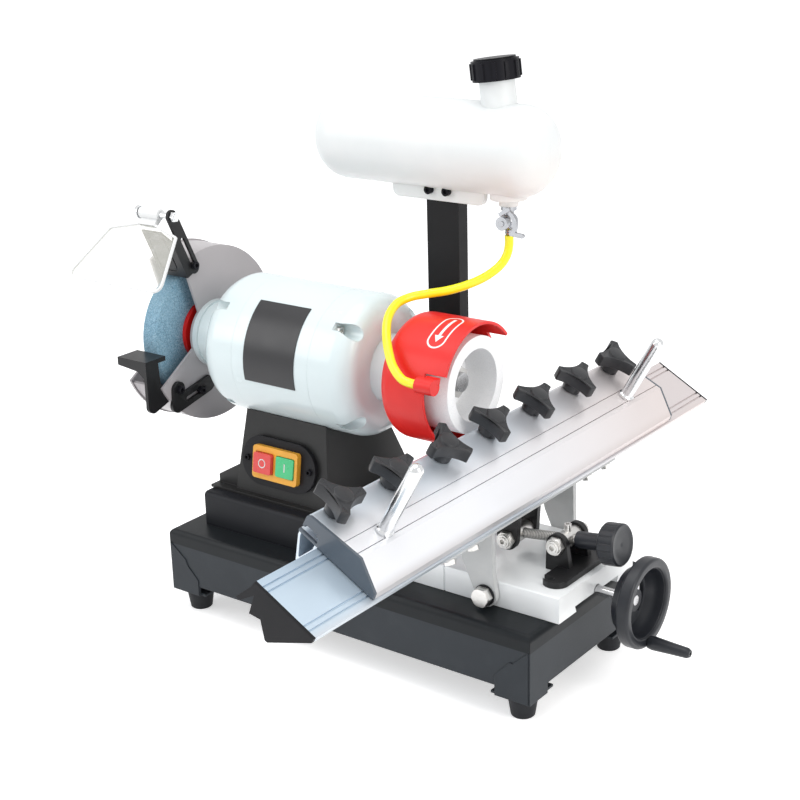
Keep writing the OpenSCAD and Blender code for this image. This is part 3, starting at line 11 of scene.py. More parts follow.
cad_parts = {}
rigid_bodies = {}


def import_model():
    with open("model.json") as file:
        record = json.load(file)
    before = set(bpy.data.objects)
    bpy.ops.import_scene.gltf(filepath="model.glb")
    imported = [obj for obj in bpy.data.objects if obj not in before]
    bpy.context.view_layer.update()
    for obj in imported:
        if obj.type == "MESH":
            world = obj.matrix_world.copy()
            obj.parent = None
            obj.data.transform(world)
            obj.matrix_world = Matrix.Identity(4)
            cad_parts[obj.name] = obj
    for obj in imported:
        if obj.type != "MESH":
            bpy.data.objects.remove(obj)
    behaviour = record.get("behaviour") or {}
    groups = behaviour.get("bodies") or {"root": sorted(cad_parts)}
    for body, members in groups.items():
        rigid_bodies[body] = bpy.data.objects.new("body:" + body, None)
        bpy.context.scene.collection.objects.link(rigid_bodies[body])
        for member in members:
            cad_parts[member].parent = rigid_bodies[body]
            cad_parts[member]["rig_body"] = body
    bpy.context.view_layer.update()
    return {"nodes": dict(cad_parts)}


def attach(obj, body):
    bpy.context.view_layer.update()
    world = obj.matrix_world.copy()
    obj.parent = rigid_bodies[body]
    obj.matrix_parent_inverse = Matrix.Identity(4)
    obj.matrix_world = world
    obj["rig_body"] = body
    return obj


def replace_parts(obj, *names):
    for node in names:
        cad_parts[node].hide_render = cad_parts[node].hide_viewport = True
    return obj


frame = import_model()
scene = bpy.context.scene
MM = 0.001
# Places in the part that several finishes and pieces are set out from, in millimetres
SLOPE = math.radians(29.4)
RAIL_X, RAIL_Y, RAIL_Z = 180, 6, 186
SPINDLE_Y, SPINDLE_Z = 10, 288

# ---------------------------------------------------------------- camera
TURN, LIFT, ROLL = (math.radians(a) for a in (37.1, 18.95, -1.52))
CAMERA_AT = (0.9421, -1.2321, 0.7895)
LENS_MM, FILM_MM = 71.685, 36
forward = Vector((-math.sin(TURN) * math.cos(LIFT), math.cos(TURN) * math.cos(LIFT), -math.sin(LIFT)))
level = Vector((math.cos(TURN), math.sin(TURN), 0))
upright = level.cross(forward)
right = level * math.cos(ROLL) + upright * math.sin(ROLL)
up = upright * math.cos(ROLL) - level * math.sin(ROLL)
camera = bpy.data.objects.new("camera", bpy.data.cameras.new("camera"))
scene.collection.objects.link(camera)
camera.matrix_world = Matrix((
    (right.x, up.x, -forward.x, CAMERA_AT[0]),
    (right.y, up.y, -forward.y, CAMERA_AT[1]),
    (right.z, up.z, -forward.z, CAMERA_AT[2]),
    (0, 0, 0, 1)))
camera.data.lens = LENS_MM
camera.data.sensor_width = FILM_MM
camera.data.clip_end = 50
scene.camera = camera


# ---------------------------------------------------------------- finishes
class Value:
    """A number inside one finish, so that shader maths reads as plain arithmetic."""

    def __init__(self, finish, socket):
        self.finish, self.socket = finish, socket

    def maths(self, operation, *values):
        node = self.finish.node("ShaderNodeMath", {"operation": operation}, dict(enumerate(values)))
        return Value(self.finish, node.outputs[0])

    def __add__(self, other): return self.maths("ADD", self, other)
    def __radd__(self, other): return self.maths("ADD", other, self)
    def __sub__(self, other): return self.maths("SUBTRACT", self, other)
    def __rsub__(self, other): return self.maths("SUBTRACT", other, self)
    def __mul__(self, other): return self.maths("MULTIPLY", self, other)
    def __rmul__(self, other): return self.maths("MULTIPLY", other, self)
    def __pow__(self, other): return self.maths("POWER", self, other)
    def __abs__(self): return self.maths("ABSOLUTE", self)
    def __lt__(self, other): return self.maths("LESS_THAN", self, other)
    def __gt__(self, other): return self.maths("GREATER_THAN", self, other)
    def sine(self): return self.maths("SINE", self)
    def at_least(self, other): return self.maths("MAXIMUM", self, other)
    def at_most(self, other): return self.maths("MINIMUM", self, other)

    def ramp(self, low, high):
        node = self.finish.node(
            "ShaderNodeMapRange", {"interpolation_type": "SMOOTHSTEP"},
            {"Value": self, "From Min": low, "From Max": high})
        return Value(self.finish, node.outputs[0])


class Finish:
    """One procedural material: a Principled surface and the nodes that vary it over the piece."""

    def __init__(self, name, **fixed):
        self.material = bpy.data.materials.new(name)
        self.material.use_nodes = True
        self.tree = self.material.node_tree
        self.surface = self.tree.nodes["Principled BSDF"]
        self.place = self.node("ShaderNodeTexCoord").outputs["Object"]
        self.set(**fixed)

    def node(self, kind, settings=None, sockets=None):
        made = self.tree.nodes.new(kind)
        for key, setting in (settings or {}).items():
            setattr(made, key, setting)
        for key, value in (sockets or {}).items():
            self.feed(made.inputs[key], value)
        return made

    def feed(self, socket, value):
        if isinstance(value, Value):
            value = value.socket
        if isinstance(value, bpy.types.NodeSocket):
            self.tree.links.new(value, socket)
        elif isinstance(value, (tuple, list)) and len(value) == 3 and len(socket.default_value) == 4:
            socket.default_value = (*value, 1)
        else:
            socket.default_value = value

    def set(self, **values):
        for key, value in values.items():
            self.feed(self.surface.inputs[key.replace("_", " ").title().replace("Ior", "IOR")], value)

    def axes(self):
        split = self.node("ShaderNodeSeparateXYZ", None, {0: self.place})
        return [Value(self, split.outputs[i]) for i in range(3)]

    def stretched(self, scale):
        return self.node("ShaderNodeMapping", None, {"Vector": self.place, "Scale": scale}).outputs[0]

    def noise(self, scale, detail=2.0, rough=0.5, where=None):
        made = self.node("ShaderNodeTexNoise", None,
                         {"Vector": where or self.place, "Scale": scale, "Detail": detail, "Roughness": rough})
        return Value(self, made.outputs[0])

    def mix(self, mask, first, second):
        made = self.node("ShaderNodeMix", {"data_type": "RGBA"}, {0: mask, 6: first, 7: second})
        return made.outputs[2]

    def relief(self, height, depth, strength=1.0, edge=0.5):
        """Bump over edges that are softened by a small radius, in millimetres."""
        soft = self.node("ShaderNodeBevel", {"samples": 4}, {"Radius": edge * MM}).outputs[0]
        bump = self.node("ShaderNodeBump", None,
                         {"Strength": strength, "Distance": depth, "Height": height, "Normal": soft})
        self.set(Normal=bump.outputs[0])


def shade(colour, amount):
    """A colour made darker or lighter by a factor."""
    return tuple(min(1.0, max(0.0, c * amount)) for c in colour)


def painted(name, colour, rough, coat, peel, tone, edge, dust=0.0, dust_colour=None, shine=0.5, top_shade=None):
    """Sprayed or powder paint with orange peel, slow tone changes and a little dust.
    above gives a height and a colour that is painted over it there, as painted shade on the top."""
    f = Finish(name, coat_roughness=0.12, specular_ior_level=shine)
    cloud = f.noise(9, 3)
    smear = f.noise(38, 4, 0.6)
    base = f.mix(cloud.ramp(0.3, 0.7), shade(colour, 1 - tone), shade(colour, 1 + tone))
    if dust:
        base = f.mix(smear.ramp(0.45, 0.8) * dust, base, dust_colour)
    # Over the given height the paint takes another colour: painted shade on the top of the piece.
    if top_shade:
        height, top_shade_colour = top_shade
        base = f.mix(f.axes()[2].ramp(height - 0.0006, height), base, top_shade_colour)
    f.set(base_color=base, roughness=rough + (smear - 0.5) * 0.16, coat_weight=coat)
    f.relief(f.noise(620, 2) + f.noise(1900, 1) * 0.3, peel, 1.0, edge)
    return f


def moulded(name, colour, rough=0.45, grain=0.00005, tone=0.06, edge=0.6, shine=0.5):
    """Moulded plastic or rubber with a fine spark-eroded grain."""
    f = Finish(name, specular_ior_level=shine)
    cloud = f.noise(24, 3)
    f.set(base_color=f.mix(cloud.ramp(0.3, 0.7), shade(colour, 1 - tone), shade(colour, 1 + tone)),
          roughness=rough + (f.noise(90, 3) - 0.5) * 0.14)
    f.relief(f.noise(2600, 2), grain, 1.0, edge)
    return f


def metal(name, colour, rough=0.3, tone=0.05, lines=None, grain=0.00002, edge=0.4, stain=0.0):
    """Bare or plated metal. lines stretches the grain along one direction."""
    f = Finish(name, metallic=1.0)
    where = f.stretched(lines) if lines else f.place
    fine = f.noise(2400, 3, 0.6, where)
    cloud = f.noise(46, 4, 0.6)
    base = f.mix(cloud.ramp(0.3, 0.75), shade(colour, 1 - tone), shade(colour, 1 + tone))
    if stain:
        base = f.mix(f.noise(130, 4, 0.7).ramp(0.55, 0.8) * stain, base, (0.34, 0.28, 0.2))
    f.set(base_color=base, roughness=rough + (fine - 0.5) * 0.2 + (cloud - 0.5) * 0.1)
    f.relief(fine, grain, 1.0, edge)
    return f


def abrasive(name, colour, pale, dark, size=900):
    """Bonded grit: three tones of grain and a rough open surface."""
    f = Finish(name, roughness=0.85)
    grit = f.node("ShaderNodeTexVoronoi", None, {"Vector": f.place, "Scale": size})
    tone = Value(f, f.node("ShaderNodeSeparateColor", None, {0: grit.outputs["Color"]}).outputs[0])
    base = f.mix(tone.ramp(0.55, 0.95), colour, pale)
    base = f.mix(1 - tone.ramp(0.0, 0.3), base, dark)
    base = f.mix(f.noise(30, 3).ramp(0.35, 0.7) * 0.25, base, pale)
    f.set(base_color=base)
    f.relief(Value(f, grit.outputs["Distance"]) * 0.5 + f.noise(1500, 2) * 0.5, 0.0001, 0.3, 0.4)
    return f


def warning_red():
    """Red guard paint with the white outline arrow that shows which way the wheel turns."""
    f = Finish("guard red paint", coat_weight=0.15, coat_roughness=0.2, specular_ior_level=0.35)
    x, y, z = f.axes()
    turn = z.maths("ARCTAN2", z - SPINDLE_Z * MM, y - SPINDLE_Y * MM)
    along = (turn - math.radians(111)) * 65 * MM
    across = x - 0.0775
    run = (abs(along) - 0.0155).at_least(0)
    pill = (run * run + across * across) ** 0.5
    line = abs(pill - 0.0096) < 0.0009
    shaft = (abs(across) < 0.0016) * (along > -0.020) * (along < 0.0105)
    head = (along > 0.0100) * (abs(across) < (0.0185 - along) * 0.62)
    white = (line.at_least(shaft).at_least(head)) * (y < 0.03)
    cloud = f.noise(14, 3)
    base = f.mix(cloud.ramp(0.3, 0.7), (0.72, 0.012, 0.010), (0.82, 0.022, 0.018))
    base = f.mix(white, base, (0.9, 0.86, 0.86))
    f.set(base_color=base, roughness=0.42 + (f.noise(60, 3) - 0.5) * 0.14)
    f.relief(f.noise(520, 2), 0.00005, 1.0, 0.7)
    return f


def milky_tank():
    """Blow-moulded tank: milky, with peach painted reflected light low on the right, and a faint parting line."""
    f = Finish("milky tank plastic", subsurface_weight=0.25, subsurface_radius=(0.02, 0.02, 0.018),
               subsurface_scale=0.5)
    x, y, z = f.axes()
    # Peach tint low on the right: painted reflected light.
    warm_reflected_light = x.ramp(-0.02, 0.13) * z.ramp(0.53, 0.47)
    base = f.mix(warm_reflected_light * 0.8, (0.80, 0.835, 0.83), (0.87, 0.80, 0.75))
    base = f.mix(f.noise(18, 3).ramp(0.35, 0.75) * 0.25, base, (0.93, 0.93, 0.92))
    parting = (abs(y - 0.089) < 0.0006) * (z < 0.58)
    f.set(base_color=base, roughness=0.36 + (f.noise(80, 3) - 0.5) * 0.12)
    f.relief(f.noise(240, 2) * 0.5 + parting * 2.0, 0.00012, 0.7, 1.2)
    return f


def clear_pane():
    """Thin clear sheet with a faint yellow cast, fine scuffs and brighter edges."""
    f = Finish("clear pane", roughness=0.08, ior=1.45)
    scuff = f.noise(60, 5, 0.7, f.stretched((1, 0.25, 3)))
    f.set(base_color=f.mix(scuff.ramp(0.4, 0.8), (0.93, 0.92, 0.84), (0.98, 0.97, 0.92)),
          alpha=0.24 + scuff.ramp(0.45, 0.9) * 0.08, roughness=0.10 + scuff * 0.12)
    f.relief(scuff, 0.00003, 0.5, 0.3)
    return f


def brushed_rail(name, top, middle, side, far_end_reflection=(0.72, 0.62, 0.59)):
    """Extruded and brushed aluminium, drawn along the rail, with die lines and soft patches. Across the slope its
    colour changes in bands, top to middle to side, as painted reflection and painted shade, and towards its back end it
    turns warmer as painted reflection."""
    f = Finish(name, metallic=0.55)
    x, y, z = f.axes()
    down = (x - RAIL_X * MM) * math.cos(SLOPE) - (z - RAIL_Z * MM) * math.sin(SLOPE)
    fine = f.noise(3200, 3, 0.7, f.stretched((1, 0.012, 1)))
    lines = f.noise(520, 4, 0.65, f.stretched((1, 0.01, 1)))
    cloud = f.noise(13, 3, 0.5, f.stretched((1, 0.45, 1)))
    # From the top band to the middle band, then the darker side face: painted reflection and painted shade.
    base = f.mix((down + (cloud - 0.5) * 0.05).ramp(-0.085, -0.045), top, middle)
    base = f.mix(down.ramp(-0.012, 0.004), base, side)
    base = f.mix(cloud.ramp(0.4, 0.75) * 0.3, base, shade(middle, 0.84))
    # Warmer towards the back end of the rail: painted reflection.
    base = f.mix(y.ramp(-0.10, 0.34) * 0.8, base, far_end_reflection)
    f.set(base_color=base, roughness=0.36 + (fine - 0.5) * 0.22 + (lines - 0.5) * 0.12)
    f.relief(fine * 0.6 + lines, 0.00003, 0.9, 0.4)
    return f


def threaded(name, colour, start, along, pitch):
    """Plated screw thread: crests every pitch along a line, with painted shade in the roots."""
    f = Finish(name, metallic=1.0)
    x, y, z = f.axes()
    reach = (x - start[0]) * along[0] + (z - start[2]) * along[2]
    crest = (reach * (2 * math.pi / pitch)).sine() * 0.5 + 0.5
    # Dark grey roots between the crests: painted shade.
    base = f.mix(crest.ramp(0.05, 0.6), (0.22, 0.21, 0.2), colour)
    f.set(base_color=base, roughness=0.32 + (f.noise(300, 3) - 0.5) * 0.2)
    f.relief(crest + f.noise(1500, 2) * 0.1, 0.0005, 1.0, 0.3)
    return f


def yellow_tube():
    """Glossy hose with slow tone changes and fine draw lines."""
    f = Finish("yellow hose", coat_weight=0.3, coat_roughness=0.15)
    f.set(base_color=f.mix(f.noise(40, 3).ramp(0.3, 0.7), (0.97, 0.87, 0.004), (1.0, 0.93, 0.012)),
          roughness=0.3 + (f.noise(120, 3) - 0.5) * 0.1)
    f.relief(f.noise(900, 2), 0.00002, 0.6, 0.2)
    return f


FINISHES = {
    # The base's top face, higher than 79.5 mm, is painted darker than its front: painted shade.
    "base": painted("base powder paint", (0.030, 0.035, 0.041), 0.42, 0.0, 0.00006, 0.08, 1.4, 0.10, (0.09, 0.09, 0.10),
                    shine=0.2, top_shade=(0.0795, (0.009, 0.011, 0.013))),
    "riser": painted("riser black paint", (0.012, 0.013, 0.016), 0.42, 0.0, 0.00006, 0.1, 1.2, shine=0.18),
    "stand": painted("stand black paint", (0.018, 0.018, 0.018), 0.42, 0.0, 0.00006, 0.1, 1.2, shine=0.3),
    "black_paint": painted("black bracket paint", (0.012, 0.012, 0.013), 0.36, 0.0, 0.00004, 0.1, 0.6, shine=0.3),
    "post": painted("post black paint", (0.008, 0.008, 0.009), 0.5, 0.0, 0.00006, 0.2, 0.8, shine=0.2),
    "motor": painted("motor pale paint", (0.70, 0.79, 0.805), 0.24, 0.3, 0.00004, 0.02, 1.0, shine=0.4),
    "guard": painted("wheel guard paint", (0.42, 0.395, 0.405), 0.34, 0.1, 0.00005, 0.05, 0.7),
    "saddle": painted("saddle white paint", (0.92, 0.94, 0.945), 0.2, 0.3, 0.00003, 0.02, 0.8, 0.05, (0.7, 0.68, 0.65)),
    "bed": painted("bed dark paint", (0.06, 0.065, 0.075), 0.4, 0.0, 0.00005, 0.1, 0.6),
    "red": warning_red(),
    "plate": painted("bare black plate", (0.012, 0.012, 0.014), 0.36, 0.0, 0.00002, 0.15, 0.3),
    "wire": painted("white dipped wire", (0.82, 0.83, 0.83), 0.3, 0.2, 0.00003, 0.03, 0.3),
    "rubber": moulded("foot rubber", (0.012, 0.013, 0.016), 0.62, 0.0001, 0.15, 0.8, 0.3),
    "black_plastic": moulded("black plastic", (0.013, 0.013, 0.015), 0.42, 0.00005, 0.12, 0.7, 0.16),
    "carriage_cap": moulded("carriage cap plastic", (0.095, 0.115, 0.14), 0.22, 0.00003, 0.08, 0.9),
    "knob": moulded("knob plastic", (0.024, 0.025, 0.028), 0.36, 0.00005, 0.12, 0.9, 0.38),
    "cap_black": moulded("cap plastic", (0.010, 0.010, 0.013), 0.36, 0.00005, 0.12, 0.8, 0.1),
    "wheel_black": moulded("handwheel plastic", (0.018, 0.020, 0.025), 0.34, 0.00004, 0.1, 0.8, 0.35),
    "stop": moulded("stop button red", (0.68, 0.06, 0.055), 0.28, 0.00002, 0.04, 0.6),
    "start": moulded("start button green", (0.06, 0.52, 0.21), 0.28, 0.00002, 0.04, 0.6),
    "yellow": moulded("switch frame yellow", (0.80, 0.38, 0.035), 0.3, 0.00002, 0.05, 0.6),
    "mark": moulded("white filled mark", (0.85, 0.85, 0.83), 0.5, 0.00001, 0.02, 0.2),
    "steel": metal("turned steel", (0.56, 0.56, 0.57), 0.28),
    "zinc": metal("zinc plate", (0.68, 0.67, 0.65), 0.34, 0.1, None, 0.00003, 0.5, 0.25),
    "ear": painted("grey primed ear", (0.52, 0.53, 0.53), 0.42, 0.0, 0.00005, 0.06, 0.7, 0.35, (0.66, 0.66, 0.65)),
    "chrome": metal("bright chrome", (0.78, 0.79, 0.8), 0.07, 0.02, None, 0.000002, 0.4),
    "satin": metal("satin nickel plate", (0.72, 0.73, 0.74), 0.2, 0.03, None, 0.000005, 0.4),
    "valve": metal("dark valve plate", (0.42, 0.43, 0.45), 0.24, 0.06, None, 0.00001, 0.4),
    "rod": metal("drawn rod", (0.62, 0.62, 0.63), 0.2, 0.05, (0.02, 1, 1)),
    "core": metal("motor core", (0.3, 0.24, 0.2), 0.5),
    "grit_blue": abrasive("blue grey grit", (0.21, 0.385, 0.51), (0.34, 0.52, 0.63), (0.12, 0.22, 0.31), 1100),
    "grit_white": abrasive("white grit", (0.94, 0.95, 0.96), (0.98, 0.98, 0.98), (0.88, 0.88, 0.89), 1300),
    "tank": milky_tank(),
    "pane": clear_pane(),
    # Rail and carriage colours for top band, middle band and side face are painted reflection and painted shade on one
    # aluminium.
    "rail": brushed_rail("brushed rail", (0.46, 0.57, 0.68), (0.56, 0.67, 0.77), (0.62, 0.66, 0.70)),
    "carriage": brushed_rail("brushed carriage", (0.66, 0.73, 0.80), (0.84, 0.85, 0.88), (0.50, 0.47, 0.465)),
    "thread": threaded("zinc thread", (0.62, 0.61, 0.59), (0.150, 0.006, 0.1435), (0.9925, 0, 0.1219), 0.0018),
    "hose": yellow_tube(),
}

WEARS = {
    "base_box": "base", "rubber_feet": "rubber", "riser_channel": "riser", "motor_stand": "stand",
    "machine_screws": "zinc", "switch_plate": "black_plastic", "switch_frame": "yellow",
    "stop_button": "stop", "start_button": "start", "motor_shell": "motor", "end_bells": "motor",
    "stator": "core", "rotor_shaft": "steel", "bearings": "steel", "motor_plate": "plate",
    "cable_gland": "black_plastic", "wheel_guard": "guard", "guard_cover": "guard",
    "grinding_wheel": "grit_blue", "wheel_flanges": "zinc", "spark_deflector": "black_paint",
    "shield_rod": "chrome", "shield_frame": "wire", "shield_pane": "pane",
    "rest_bracket": "black_paint", "tool_rest": "black_paint", "cup_guard": "red", "water_nozzle": "red",
    "cup_wheel": "grit_white", "tank_post": "post", "water_tank": "tank", "tank_cap": "cap_black",
    "valve_body": "valve", "valve_lever": "valve", "dovetail_bed": "bed", "saddle": "saddle",
    "leadscrew": "rod", "handwheel": "wheel_black", "crank_handle": "wheel_black", "rail_cradle": "ear",
    "rail_bolts": "zinc", "pivot_bolts": "zinc", "lower_rail": "rail", "rail_caps": "black_plastic",
    "fork_bracket": "black_paint", "lower_trunnion": "zinc", "upper_trunnion": "zinc",
    "adjuster_screw": "thread", "carriage": "carriage", "carriage_caps": "carriage_cap",
    "chrome_handles": "satin", "clamp_bar": "steel",
    **{f"clamp_knob_{i}": "knob" for i in range(1, 8)},
}


def body_of(node):
    """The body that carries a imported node."""
    return frame["nodes"][node]["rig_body"]


def finished(name, mesh, body, *wears):
    """Turns a bmesh into a piece that rides on a body, smooth but for its folds."""
    for face in mesh.faces:
        face.smooth = True
    for edge in mesh.edges:
        edge.smooth = not (len(edge.link_faces) == 2 and edge.calc_face_angle(0) > math.radians(33))
    data = bpy.data.meshes.new(name)
    mesh.to_mesh(data)
    mesh.free()
    piece = bpy.data.objects.new(name, data)
    scene.collection.objects.link(piece)
    for wear in wears:
        data.materials.append(FINISHES[wear].material)
    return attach(piece, body)


def merged(node):
    """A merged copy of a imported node's mesh."""
    mesh = bmesh.new()
    mesh.from_mesh(frame["nodes"][node].data)
    for layer in list(mesh.loops.layers.float_vector.values()):
        mesh.loops.layers.float_vector.remove(layer)
    bmesh.ops.remove_doubles(mesh, verts=mesh.verts, dist=0.002 * MM)
    return mesh


def dress(node, others=(), where=None):
    """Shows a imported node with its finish. where() gives each face, from its middle in millimetres,
    0 for that finish or the number of one of the others."""
    mesh = merged(node)
    wears = [WEARS[node], *others]
    if others:
        for face in mesh.faces:
            face.material_index = int(where(face.calc_center_median() / MM))
    piece = finished("shown_" + node, mesh, body_of(node), *wears)
    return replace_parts(piece, node)


HOSE_D = 9


def hose():
    """The water hose hangs from the valve barb and goes into the nozzle on the cup guard."""
    route = [
        (86, 89, 422.8), (86, 89, 412), (84.5, 86, 401), (80, 78, 391), (71, 65, 382),
        (60, 50, 376), (47, 36, 372), (33, 22, 370), (21, 8, 368), (15.5, -8, 364),
        (18, -25, 356), (26, -40, 346), (36, -51.5, 333), (48, -60.5, 319), (62, -65.5, 309.5),
        (73, -66, 307), (81.7, -66, 307)]
    points = [Vector(p) * MM for p in route]
    steps = 6
    line = []
    for i in range(len(points) - 1):
        before, start = points[max(i - 1, 0)], points[i]
        end, after = points[i + 1], points[min(i + 2, len(points) - 1)]
        for step in range(steps):
            t = step / steps
            line.append(0.5 * (2 * start + (end - before) * t + (2 * before - 5 * start + 4 * end - after) * t ** 2
                               + (3 * start - before - 3 * end + after) * t ** 3))
    line.append(points[-1])
    curve = bpy.data.curves.new("water_hose_line", "CURVE")
    curve.dimensions = "3D"
    spline = curve.splines.new("POLY")
    spline.points.add(len(line) - 1)
    for point, place in zip(spline.points, line):
        point.co = (*place, 1)
    spline.use_smooth = True
    curve.bevel_depth = HOSE_D / 2 * MM
    curve.bevel_resolution = 8
    curve.use_fill_caps = True
    curve.materials.append(FINISHES["hose"].material)
    piece = bpy.data.objects.new("yellow_water_hose", curve)
    scene.collection.objects.link(piece)
    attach(piece, "frame")
    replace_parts(piece, "water_hose")
    length = sum((b - a).length for a, b in zip(line, line[1:]))


hose()

# Middle of the switch on the front of the stand, in millimetres, and the way that its buttons push out
SWITCH = Vector((-118.5, -42.77, 175.53))
PUSH = Vector((0, -0.9889, 0.1483))


def in_mark(x, proud):
    def test(at):
        apart = at - SWITCH - Vector((x, 0, 0))
        depth = apart.dot(PUSH)
        flat = apart - PUSH * depth
        return flat.length < 5.6 and 8.5 + proud - 0.9 < depth < 8.5 + proud - 0.05
    return test


def along_adjuster(at):
    return (at - Vector((150, 6, 143.5))).dot(Vector((0.9925, 0, 0.1219)))


# Just past the outer face of the cup wheel's outer flange, in millimetres
CUP_NUT_X = 65.1


def off_spindle(at):
    """How far a place is from the spindle's axis, in millimetres."""
    return math.hypot(at.y - SPINDLE_Y, at.z - SPINDLE_Z)


def flange_finish(at):
    """The straight wheel's flanges are red, the cup wheel's flanges black, and the nuts bare."""
    if at.x < 0:
        return 1 if off_spindle(at) > 16 or at.x > -275 else 0
    return 2 if at.x < CUP_NUT_X else 0


SPECIAL = {
    "stop_button": (["mark"], in_mark(-14.4, 7)),
    "start_button": (["mark"], in_mark(14.4, 4)),
    "adjuster_screw": (["wheel_black"], lambda at: along_adjuster(at) > 69.8),
    "rail_cradle": (["black_paint"], lambda at: 14.9 < abs(at.y - RAIL_Y) < 21.2 and at.z < 176),
    "wheel_guard": (["motor"], lambda at: at.x > -252.8 and off_spindle(at) < 38.6),
    "wheel_flanges": (["red", "black_paint"], flange_finish),
    "machine_screws": (["cap_black"], lambda at: (
        at.z > 400 or at.x < -240 or (at.y < -30 and 150 < at.z < 205 and at.x > -190))),
    "pivot_bolts": (["black_plastic"], lambda at: 78.8 < abs(at.y - RAIL_Y) < 81.1),
}
for node in WEARS:
    if not node.startswith("clamp_knob"):
        dress(node, *SPECIAL.get(node, ()))


def on_slope(down, along, out):
    """A place on the sloping rail: down its top, along it, and square out of it, in millimetres."""
    frame_of_rail = Matrix((
        (math.cos(SLOPE), 0, math.sin(SLOPE), RAIL_X * MM),
        (0, 1, 0, RAIL_Y * MM),
        (-math.sin(SLOPE), 0, math.cos(SLOPE), RAIL_Z * MM),
        (0, 0, 0, 1)))
    return frame_of_rail @ Matrix.Translation(Vector((down, along, out)) * MM)


# Underside of the middle knob on the slope, and the spacing of the knobs, in millimetres
KNOB_DOWN, KNOB_ALONG, KNOB_UNDER, KNOB_PITCH = -82, -10.3, 33, 80


def clamp_knob(i, turn):
    """Three-pointed star knob with hollow sides, a dished top and a round collar."""
    mesh = bmesh.new()
    tip, centre, hollow = 24.4 * MM, 48.6 * MM, 37.6 * MM
    bmesh.ops.create_circle(mesh, cap_ends=True, segments=132, radius=tip)
    for vert in mesh.verts:
        angle = math.atan2(vert.co.y, vert.co.x)
        off = (angle + math.radians(120)) % math.radians(120) - math.radians(60)
        side = centre * math.sin(off)
        reach = centre * math.cos(off) - math.sqrt(hollow ** 2 - side ** 2) if abs(side) < hollow else tip
        vert.co *= min(tip, reach) / tip
    risen = bmesh.ops.extrude_face_region(mesh, geom=mesh.faces[:])["geom"]
    bmesh.ops.translate(mesh, verts=[g for g in risen if isinstance(g, bmesh.types.BMVert)], vec=(0, 0, 13 * MM))
    bmesh.ops.recalc_face_normals(mesh, faces=mesh.faces[:])
    rims = [e for e in mesh.edges if e.calc_face_angle(0) > math.radians(60)]
    bmesh.ops.bevel(mesh, geom=rims, offset=0.9 * MM, offset_type="OFFSET", segments=3, profile=0.5,
                    affect="EDGES", clamp_overlap=True, material=-1)
    top = max(mesh.faces, key=lambda f: f.calc_center_median().z * 1000 + f.calc_area())
    bmesh.ops.inset_region(mesh, faces=[top], thickness=1.6 * MM, depth=-0.5 * MM)
    for low, high, wide, narrow in ((-9.1, 0.4, 10, 10.6), (12.2, 14.2, 10.2, 9.2)):
        disc = bmesh.ops.create_cone(mesh, cap_ends=True, segments=64, radius1=wide * MM, radius2=narrow * MM,
                                     depth=(high - low) * MM,
                                     matrix=Matrix.Translation((0, 0, (high + low) / 2 * MM)))
        ring = {e for v in disc["verts"] for e in v.link_edges if e.calc_face_angle(0) > math.radians(50)}
        bmesh.ops.bevel(mesh, geom=list(ring), offset=0.5 * MM, offset_type="OFFSET", segments=2, profile=0.5,
                        affect="EDGES", clamp_overlap=True, material=-1)
    place = on_slope(KNOB_DOWN, KNOB_ALONG + (i - 4) * KNOB_PITCH, KNOB_UNDER)
    mesh.transform(place @ Matrix.Rotation(math.radians(turn), 4, "Z"))
    piece = finished(f"star_knob_{i}", mesh, f"knob_{i}", "knob")
    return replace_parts(piece, f"clamp_knob_{i}")


for number, turn in enumerate((77, 100, 26, 98, 103, 108, 11), 1):
    clamp_knob(number, turn)


def corner_flap(name, outline):
    """Folded tab of sheet that laps over a front corner of the base."""
    mesh = bmesh.new()
    face = mesh.faces.new([mesh.verts.new(Vector((x, -104, z)) * MM) for x, z in outline])
    moved = bmesh.ops.extrude_face_region(mesh, geom=[face])["geom"]
    bmesh.ops.translate(mesh, verts=[g for g in moved if isinstance(g, bmesh.types.BMVert)], vec=(0, -1.0 * MM, 0))
    bmesh.ops.recalc_face_normals(mesh, faces=mesh.faces[:])
    finished(name, mesh, "frame", "base")


corner_flap("left_corner_flap", [
    (-231.5, 80), (-210.5, 64), (-207.5, 57), (-193.5, 43), (-193.5, 24.6), (-231.5, 24.6)])
corner_flap("right_corner_flap", [
    (231.5, 80), (224.5, 73.8), (214, 64), (210.5, 64.5), (193.5, 46), (193.5, 24.6), (231.5, 24.6)])

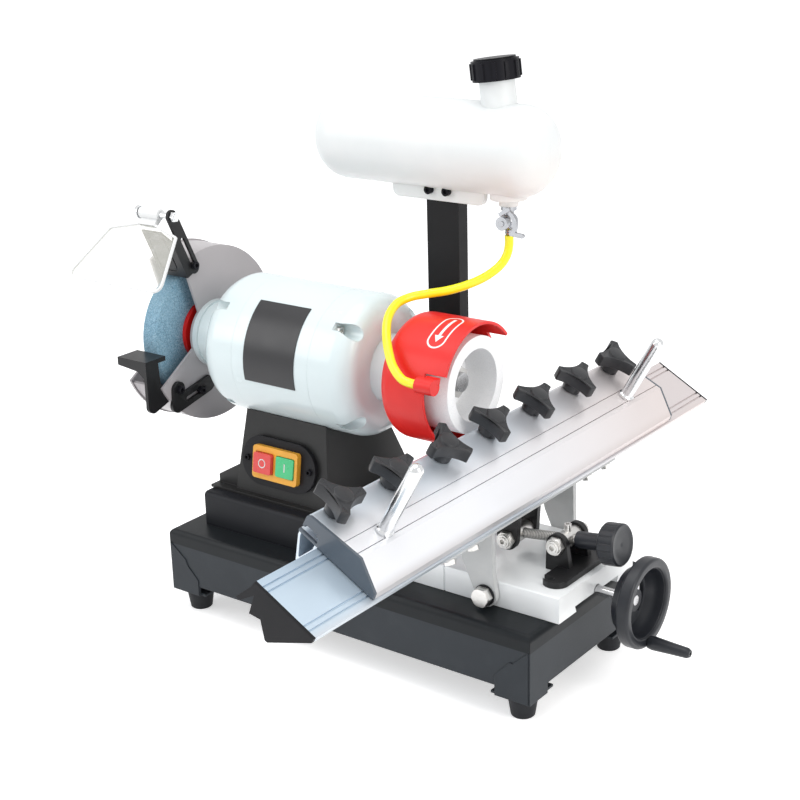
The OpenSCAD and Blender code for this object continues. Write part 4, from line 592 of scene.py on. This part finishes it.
# ---------------------------------------------------------------- studio
floor_finish = Finish("studio floor", roughness=0.9)
seen = floor_finish.node("ShaderNodeLightPath")
by_eye = (Value(floor_finish, seen.outputs["Is Camera Ray"]) + Value(floor_finish, seen.outputs["Is Glossy Ray"])
          + Value(floor_finish, seen.outputs["Is Transmission Ray"])).at_most(1)
floor_finish.set(base_color=(0.95, 0.95, 0.95), emission_strength=1.0,
                 emission_color=floor_finish.mix(by_eye, (0, 0, 0), (0.52, 0.52, 0.52)))
floor = bpy.data.objects.new("studio_floor", bpy.data.meshes.new("studio_floor"))
plane = bmesh.new()
bmesh.ops.create_grid(plane, x_segments=1, y_segments=1, size=20)
plane.to_mesh(floor.data)
plane.free()
floor.data.materials.append(floor_finish.material)
scene.collection.objects.link(floor)

world = bpy.data.worlds.new("studio")
scene.world = world
world.use_nodes = True
sky = world.node_tree
ray = sky.nodes.new("ShaderNodeLightPath")
soft = sky.nodes["Background"]
soft.inputs[0].default_value = (0.97, 0.98, 1.0, 1)
soft.inputs[1].default_value = 0.66
bright = sky.nodes.new("ShaderNodeBackground")
bright.inputs[1].default_value = 1.0
bright.inputs[0].default_value = (1, 1, 1, 1)
choose = sky.nodes.new("ShaderNodeMixShader")
rays = ray.outputs["Is Camera Ray"]
for kind in ("Is Glossy Ray", "Is Transmission Ray"):
    both = sky.nodes.new("ShaderNodeMath")
    both.operation, both.use_clamp = "ADD", True
    sky.links.new(rays, both.inputs[0])
    sky.links.new(ray.outputs[kind], both.inputs[1])
    rays = both.outputs[0]
sky.links.new(rays, choose.inputs[0])
sky.links.new(soft.outputs[0], choose.inputs[1])
sky.links.new(bright.outputs[0], choose.inputs[2])
sky.links.new(choose.outputs[0], sky.nodes["World Output"].inputs[0])


def softbox(name, place, aim, size, power, colour=(1, 1, 1)):
    """A rectangular lamp at a place, turned to shine at another."""
    lamp = bpy.data.lights.new(name, "AREA")
    lamp.shape, lamp.size, lamp.size_y = "RECTANGLE", *size
    lamp.energy, lamp.color = power, colour
    holder = bpy.data.objects.new(name, lamp)
    scene.collection.objects.link(holder)
    holder.location = place
    holder.rotation_mode = "QUATERNION"
    holder.rotation_quaternion = (Vector(aim) - Vector(place)).to_track_quat("-Z", "Y")


softbox("top_box", (-0.2, -0.3, 2.2), (0, 0, 0.25), (1.6, 1.6), 20.5)
softbox("left_box", (-1.5, -1.5, 1.3), (-0.1, 0, 0.25), (0.9, 1.4), 11.5)
softbox("right_box", (1.9, -0.3, 1.1), (0.1, 0, 0.15), (0.8, 1.2), 16, (1, 0.97, 0.94))
scene.view_settings.view_transform = "Standard"
